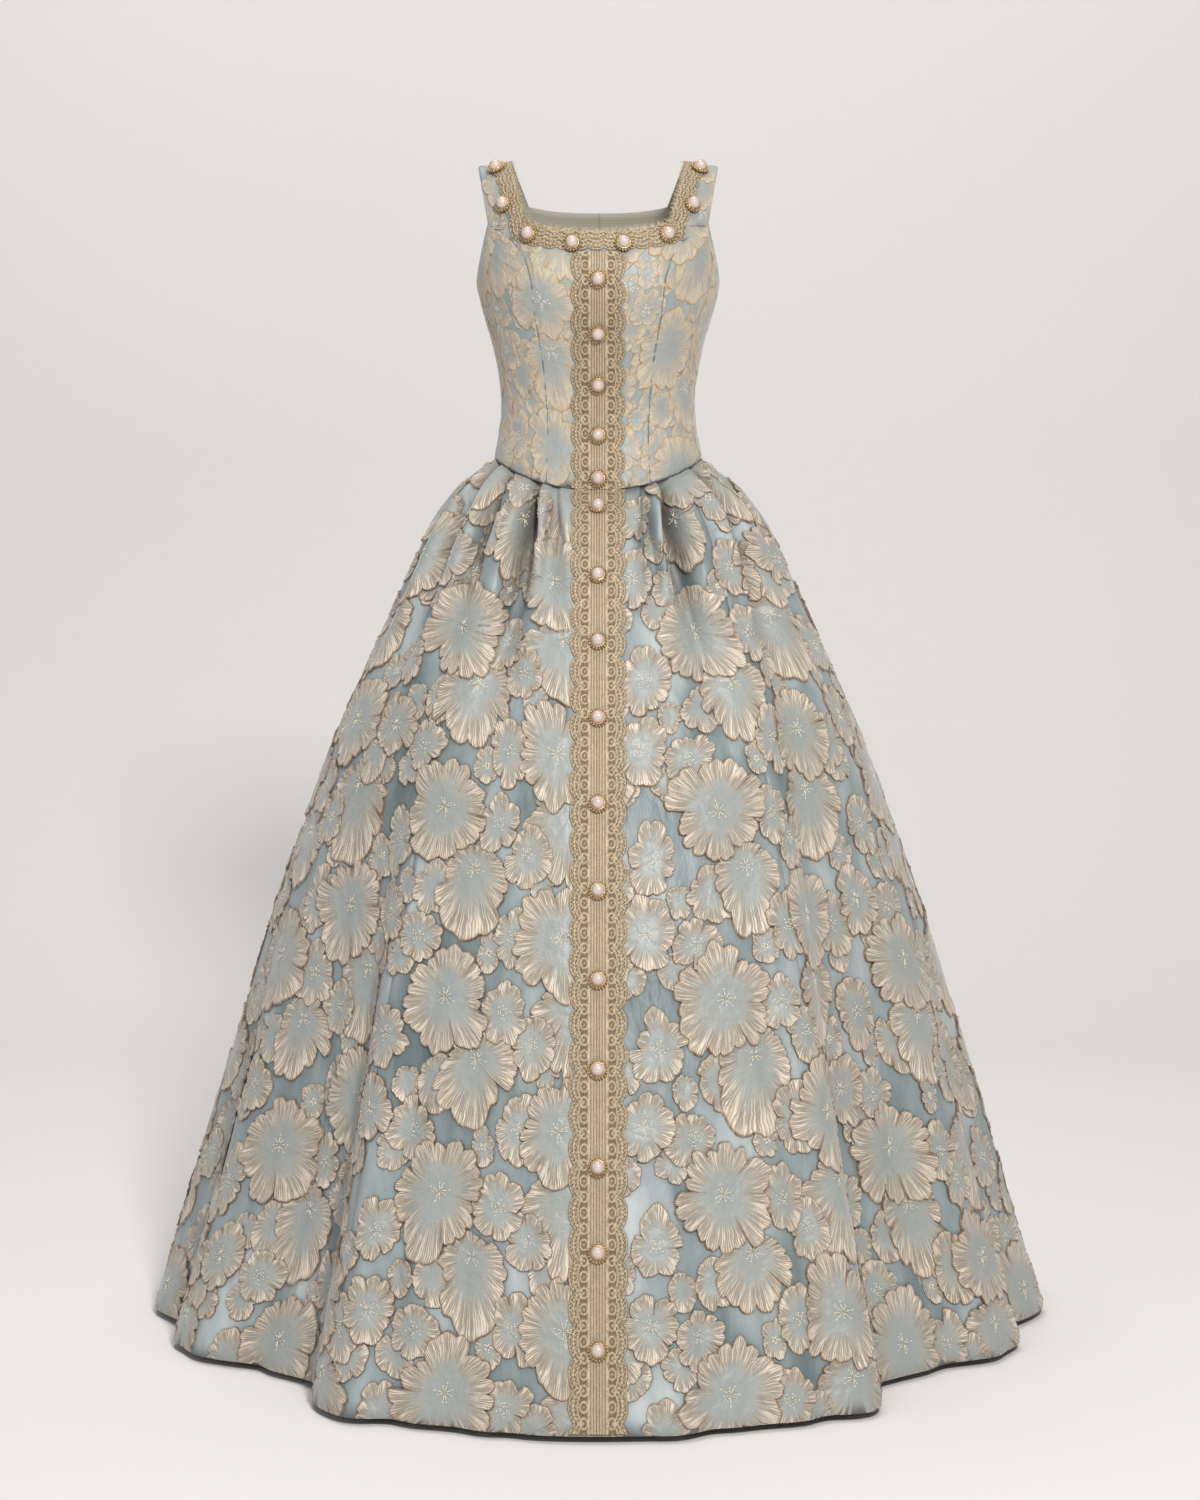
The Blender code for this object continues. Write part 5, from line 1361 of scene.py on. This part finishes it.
inner, outer = neckPath()
mirror = np.array([-1, 1])
inner = np.concatenate([inner, inner[-2::-1] * mirror])
outer = np.concatenate([outer, outer[-2::-1] * mirror])
middlePoints = (bodicePoint(*inner.T, "front") + bodicePoint(*outer.T, "front")) / 2
travel = np.concatenate([[0], np.cumsum(np.linalg.norm(np.diff(middlePoints, axis=0), axis=1))])
neckLength = travel[-1]
along = np.linspace(0, neckLength, round(neckLength / neckLace["step"]))
inner = np.stack([np.interp(along, travel, inner[:, k]) for k in (0, 1)], -1)
outer = np.stack([np.interp(along, travel, outer[:, k]) for k in (0, 1)], -1)
scallop = np.sqrt(np.abs(np.sin(np.pi * along / neckLace["scallop"])))
scallop = 1 - neckLace["scallopDeep"] + neckLace["scallopDeep"] * scallop
share = np.linspace(0, 1, neckLace["across"])[None, :] * scallop[:, None]
x = inner[:, :1] + (outer[:, :1] - inner[:, :1]) * share
row = inner[:, 1:] + (outer[:, 1:] - inner[:, 1:]) * share
across = bodicePoint(*outer.T, "front") - bodicePoint(*inner.T, "front")
across = np.linalg.norm(across, axis=-1)[:, None]
neckStrip = laceStrip("laceNeckline", bodicePoint(x, row, "front"), bodiceNormals(x, row, "front"),
                      0.02 + 0 * x, across * (scallop[:, None] - share), along[:, None] + 0 * x, 0.0,
                      laceCut["neckCords"])
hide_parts("lace_neckline")

# The eyelash along the lace's inner edge: loose ends of the weft, 3 to 9 mm long.
lash = {"count": 760, "longest": 0.0092, "shortest": 0.0026, "wide": 0.00050, "under": 0.0012, "lift": 0.0011}
lashVertices, lashFaces = [], []
lashAlong = np.linspace(0, neckLength, lash["count"])
rootEdge = [np.interp(lashAlong, along, inner[:, k]) for k in (0, 1)]
farEdge = [np.interp(lashAlong, along, outer[:, k]) for k in (0, 1)]
roots = bodicePoint(*rootEdge, "front")
inward = roots - bodicePoint(*farEdge, "front")
inward /= np.linalg.norm(inward, axis=1, keepdims=True)
outwards = bodiceNormals(*rootEdge, "front")
sideways = np.cross(outwards, inward)
for k in range(lash["count"]):
    long = random.uniform(lash["shortest"], lash["longest"])
    lean = sideways[k] * random.normal(0, 0.45) + outwards[k] * random.uniform(-0.1, 0.5)
    way = inward[k] + lean
    way /= np.linalg.norm(way)
    root = roots[k] - inward[k] * lash["under"] + outwards[k] * lash["lift"]
    middle = root + way * long * 0.55 + outwards[k] * 0.0003
    tip = root + (way + lean * 0.3) * long - outwards[k] * 0.0004
    half = sideways[k] * lash["wide"]
    start = len(lashVertices)
    lashVertices += [root - half, root + half, middle - half * 0.7, middle + half * 0.7, tip]
    lashFaces += [[start, start + 1, start + 3, start + 2], [start + 2, start + 3, start + 4]]
lashPiece = makePiece("neckEyelash", lashVertices, lashFaces, [looseEnds])


print("stage: pearls")
pearl = {"radius": 0.0076, "setting": 0.0112, "high": 0.0035, "sunk": 0.0065, "foot": 0.0026, "grains": 18,
         "grain": 0.0015, "grainHigh": 0.0024, "rope": 0.0010, "lip": 0.0012}


def deselectAll():
    bpy.ops.object.select_all(action="DESELECT")


def pearlModel():
    deselectAll()
    bpy.ops.mesh.primitive_uv_sphere_add(segments=28, ring_count=16, radius=pearl["radius"],
                                         location=(0, 0, pearl["high"] + pearl["radius"] - pearl["sunk"]))
    ball = bpy.context.object
    bpy.ops.object.mode_set(mode="EDIT")
    bpy.ops.mesh.select_all(action="SELECT")
    bpy.ops.transform.resize(value=(1, 1, 0.96), center_override=(0, 0, pearl["high"]))
    bpy.ops.mesh.faces_shade_smooth()
    bpy.ops.object.mode_set(mode="OBJECT")
    ball.data.materials.append(pearlCoat)
    # the cup: a disc whose top is inset and sunk
    deselectAll()
    bpy.ops.mesh.primitive_cylinder_add(vertices=32, radius=pearl["setting"] * 0.80, depth=pearl["high"],
                                        location=(0, 0, pearl["high"] / 2))
    cup = bpy.context.object
    bpy.ops.object.mode_set(mode="EDIT")
    bm = bmesh.from_edit_mesh(cup.data)
    for face in bm.faces:
        face.select = face.normal.z > 0.9
    bmesh.update_edit_mesh(cup.data)
    bpy.ops.mesh.inset(thickness=pearl["lip"])
    bpy.ops.mesh.extrude_region_move(TRANSFORM_OT_translate={"value": (0, 0, -pearl["lip"])})
    bpy.ops.object.mode_set(mode="OBJECT")
    bevel = cup.modifiers.new("bevel", "BEVEL")
    bevel.width, bevel.segments = 0.0004, 2
    bpy.ops.object.modifier_apply(modifier="bevel")
    cup.data.materials.append(gilt)
    # a rope ring, and a ring of grains outside it
    deselectAll()
    bpy.ops.mesh.primitive_torus_add(major_segments=40, minor_segments=8, minor_radius=pearl["rope"],
                                     major_radius=pearl["radius"] + 0.0002, location=(0, 0, pearl["high"]))
    rope = bpy.context.object
    rope.data.materials.append(gilt)
    bpy.ops.object.shade_smooth()
    grains = []
    deselectAll()
    grainPlace = (pearl["setting"] - 0.0013, 0, pearl["grainHigh"])
    bpy.ops.mesh.primitive_ico_sphere_add(subdivisions=2, radius=pearl["grain"], location=grainPlace)
    grain = bpy.context.object
    bpy.ops.object.mode_set(mode="EDIT")
    bpy.ops.mesh.select_all(action="SELECT")
    bpy.ops.transform.resize(value=(1, 1, 1.25), center_override=grainPlace)
    bpy.ops.object.mode_set(mode="OBJECT")
    bpy.ops.object.shade_smooth()
    grain.data.materials.append(gilt)
    bpy.ops.object.transform_apply(location=True, rotation=True, scale=True)
    for k in range(1, pearl["grains"]):
        copy = grain.copy()
        copy.data = grain.data.copy()
        copy.data.transform(Matrix.Rotation(2 * math.pi * k / pearl["grains"], 4, "Z"))
        scene.collection.objects.link(copy)
        grains.append(copy)
    deselectAll()
    for part in [ball, cup, rope, grain, *grains]:
        part.select_set(True)
    bpy.context.view_layer.objects.active = ball
    bpy.ops.object.join()
    bpy.ops.object.transform_apply(location=True, rotation=True, scale=True)
    return ball


model = pearlModel()


def setPearl(name, node, point, normal):
    mesh = model.data.copy()
    spot = Vector(point) + Vector(normal) * pearl["foot"] - Vector((0, 0, shoulderHeight))
    turn = Vector(normal).to_track_quat("Z", "Y").to_matrix().to_4x4()
    mesh.transform(Matrix.Translation(spot) @ turn)
    piece = bpy.data.objects.new(name, mesh)
    scene.collection.objects.link(piece)
    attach(piece, "root")
    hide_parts(node)


# heights of the pearls on the bodice's band and on the skirt's
bodicePearls = [1.2435, 1.1815, 1.1205, 1.0595, 1.0080]
skirtPearls = [0.974, 0.898, 0.824, 0.740, 0.6475, 0.5545, 0.461, 0.3675, 0.2675, 0.181, 0.084]
pearlSpots = []
for height in bodicePearls:
    spot = np.zeros(1), rowAtHeight(np.array([height])), "front"
    pearlSpots.append((bodicePoint(*spot)[0], bodiceNormals(*spot)[0]))
heights = skirtField["points"][:, frontColumn, 2]
for height in skirtPearls:
    spot = np.array([np.interp(-height, -heights, np.arange(len(heights)))]), np.array([float(frontColumn)])
    pearlSpots.append((lookUp(skirtField["points"], *spot)[0], lookUp(skirtField["normals"], *spot)[0]))
for k, (point, normal) in enumerate(pearlSpots):
    setPearl(f"pearlFront{k + 1:02d}", f"pearl_front_{k + 1:02d}", point, normal)
# distance from the centre line, and height
neckPearls = [(0.0300, 1.2862), (0.0810, 1.2975)]
# distance from the centre line, and share of the way up the strap
strapPearls = [(0.1105, 0.17), (0.1215, 0.68)]
cornerRow = float(rowAtHeight(cut["cornerFront"]))
for hand, side in ((-1, "right"), (1, "left")):
    flip = np.array([hand, 1, 1])
    rows = [rowAtHeight(height) for x, height in neckPearls]
    rows += [cornerRow + share * (topRow - cornerRow) for x, share in strapPearls]
    for k, ((x, _), row) in enumerate(zip(neckPearls + strapPearls, rows)):
        spot = np.array([x]), np.array([row]), "front"
        kind = "neck" if k < len(neckPearls) else "strap"
        name = f"pearl{kind.title()}{side.title()}{k % 2 + 1}"
        setPearl(name, f"pearl_{kind}_{side}_{k % 2 + 1}", bodicePoint(*spot)[0] * flip,
                 bodiceNormals(*spot)[0] * flip)
bpy.data.objects.remove(model)

# Seed beads along the middle of the band, between the pearls.
seed = {"radius": 0.0011, "pitch": 0.0026, "clear": 0.0125, "lift": 0.0022}
deselectAll()
bpy.ops.mesh.primitive_ico_sphere_add(subdivisions=1, radius=seed["radius"], location=(0, 0, 0))
bead = bpy.context.object
bpy.ops.object.shade_smooth()
beadVertices = np.array([v.co[:] for v in bead.data.vertices])
beadFaces = [list(p.vertices) for p in bead.data.polygons]
bpy.data.objects.remove(bead)
taken = np.array([point for point, normal in pearlSpots])
for name, pointsAt, length in (("seedBeadsBodice", onBodiceFront, bandSteps[-1]),
                               ("seedBeadsSkirt", onSkirtFront, skirtLength)):
    steps = np.arange(seed["pitch"], length - seed["pitch"], seed["pitch"])
    spots, ways = pointsAt(steps[:, None], np.zeros((len(steps), 1)))
    spots, ways = spots[:, 0], ways[:, 0]
    vertices, faces = [], []
    for spot, way in zip(spots, ways):
        if np.linalg.norm(taken - spot, axis=1).min() < seed["clear"]:
            continue
        start = len(vertices)
        vertices += list(beadVertices * (1, 1, 0.85) + spot + way * seed["lift"])
        faces += [[start + v for v in face] for face in beadFaces]
    makePiece(name, vertices, faces, [pearlCoat])


print("stage: studio")
studio = {"floor": -1.3975, "backdrop": 2.6, "colours": ("#ECEAE9", "#F1EFEE"), "bend": 1.0, "steps": 12,
          "reach": 7.0, "high": 5.0}
backdropMaterial, tree, shader, place = newMaterial("paintedStudioCove")
haze = addNode(tree, "ShaderNodeTexNoise", {"Vector": place, "Scale": 0.5, "Detail": 1}).outputs["Fac"]
tones = addNode(tree, "ShaderNodeValToRGB", {"Fac": haze}, list(zip((0.3, 0.7), studio["colours"])))
tree.links.new(tones.outputs[0], shader.inputs["Base Color"])
shader.inputs["Roughness"].default_value = 0.95
shader.inputs["Specular IOR Level"].default_value = 0.1
# the cove is clear from behind, so that the gown's back can be seen past it
behind = addNode(tree, "ShaderNodeNewGeometry").outputs["Backfacing"]
clear = addNode(tree, "ShaderNodeBsdfTransparent").outputs[0]
oneSided = addNode(tree, "ShaderNodeMixShader", {0: behind, 1: shader.outputs[0], 2: clear}).outputs[0]
tree.links.new(oneSided, tree.nodes["Material Output"].inputs["Surface"])
foot, reach = studio["backdrop"] - studio["bend"], studio["reach"]
coveSteps = [(-reach, 0.0), (foot, 0.0)]
for k in range(1, studio["steps"] + 1):
    turn = math.pi / 2 * k / studio["steps"]
    coveSteps.append((foot + studio["bend"] * math.sin(turn), studio["bend"] * (1 - math.cos(turn))))
coveSteps.append((studio["backdrop"], studio["high"]))
mesh = bpy.data.meshes.new("cove")
coveVertices = [(x, y, z + studio["floor"]) for y, z in coveSteps for x in (-reach, reach)]
mesh.from_pydata(coveVertices, [], gridFaces(len(coveSteps), 2))
mesh.polygons.foreach_set("use_smooth", np.full(len(mesh.polygons), True))
mesh.materials.append(backdropMaterial)
cove = bpy.data.objects.new("cove", mesh)
scene.collection.objects.link(cove)

# name, place, aim, size, watts, colour
lampTable = [
    ("key", (0.78, -3.4, 1.5), (0, 0, -0.55), 0.5, 115, "#FFFAF3"),
    ("fill", (-2.6, -3.0, 0.3), (0, 0, -0.7), 2.0, 11, "#F6F8FF"),
    ("top", (-0.5, 0.2, 3.2), (0, 0, -0.6), 1.4, 14, "#FFFFFF"),
    ("wash", (0, -0.2, 3.4), (0, 2.6, 0.2), 2.5, 49, "#FDFDFF"),
    ("rear", (-0.9, 2.2, 1.9), (0, 0, -0.6), 2.4, 11, "#FFFFFF"),
]
for name, spot, aim, size, watts, colour in lampTable:
    lamp = bpy.data.lights.new(name, "AREA")
    lamp.energy, lamp.size, lamp.color = watts, size, linearColour(colour)[:3]
    holder = bpy.data.objects.new(name, lamp)
    holder.location = spot
    holder.rotation_euler = (Vector(aim) - Vector(spot)).to_track_quat("-Z", "Y").to_euler()
    scene.collection.objects.link(holder)
world = bpy.data.worlds.new("studio") if scene.world is None else scene.world
scene.world = world
world.use_nodes = True
air = world.node_tree.nodes["Background"].inputs
air["Color"].default_value = linearColour("#F6F5F4")
air["Strength"].default_value = 0.28
scene.view_settings.view_transform = "Standard"

camera = {"place": (0.0023, -4.120, -0.2826), "pitch": 2.176, "lens": 81.43, "shift": -0.15}
view = bpy.data.cameras.new("camera")
view.lens = camera["lens"]
view.sensor_width = 36
view.sensor_fit = "AUTO"
view.shift_y = camera["shift"]
view.dof.use_dof = False
eye = bpy.data.objects.new("camera", view)
eye.location = camera["place"]
eye.rotation_euler = (math.radians(90 - camera["pitch"]), 0, 0)
scene.collection.objects.link(eye)
scene.camera = eye
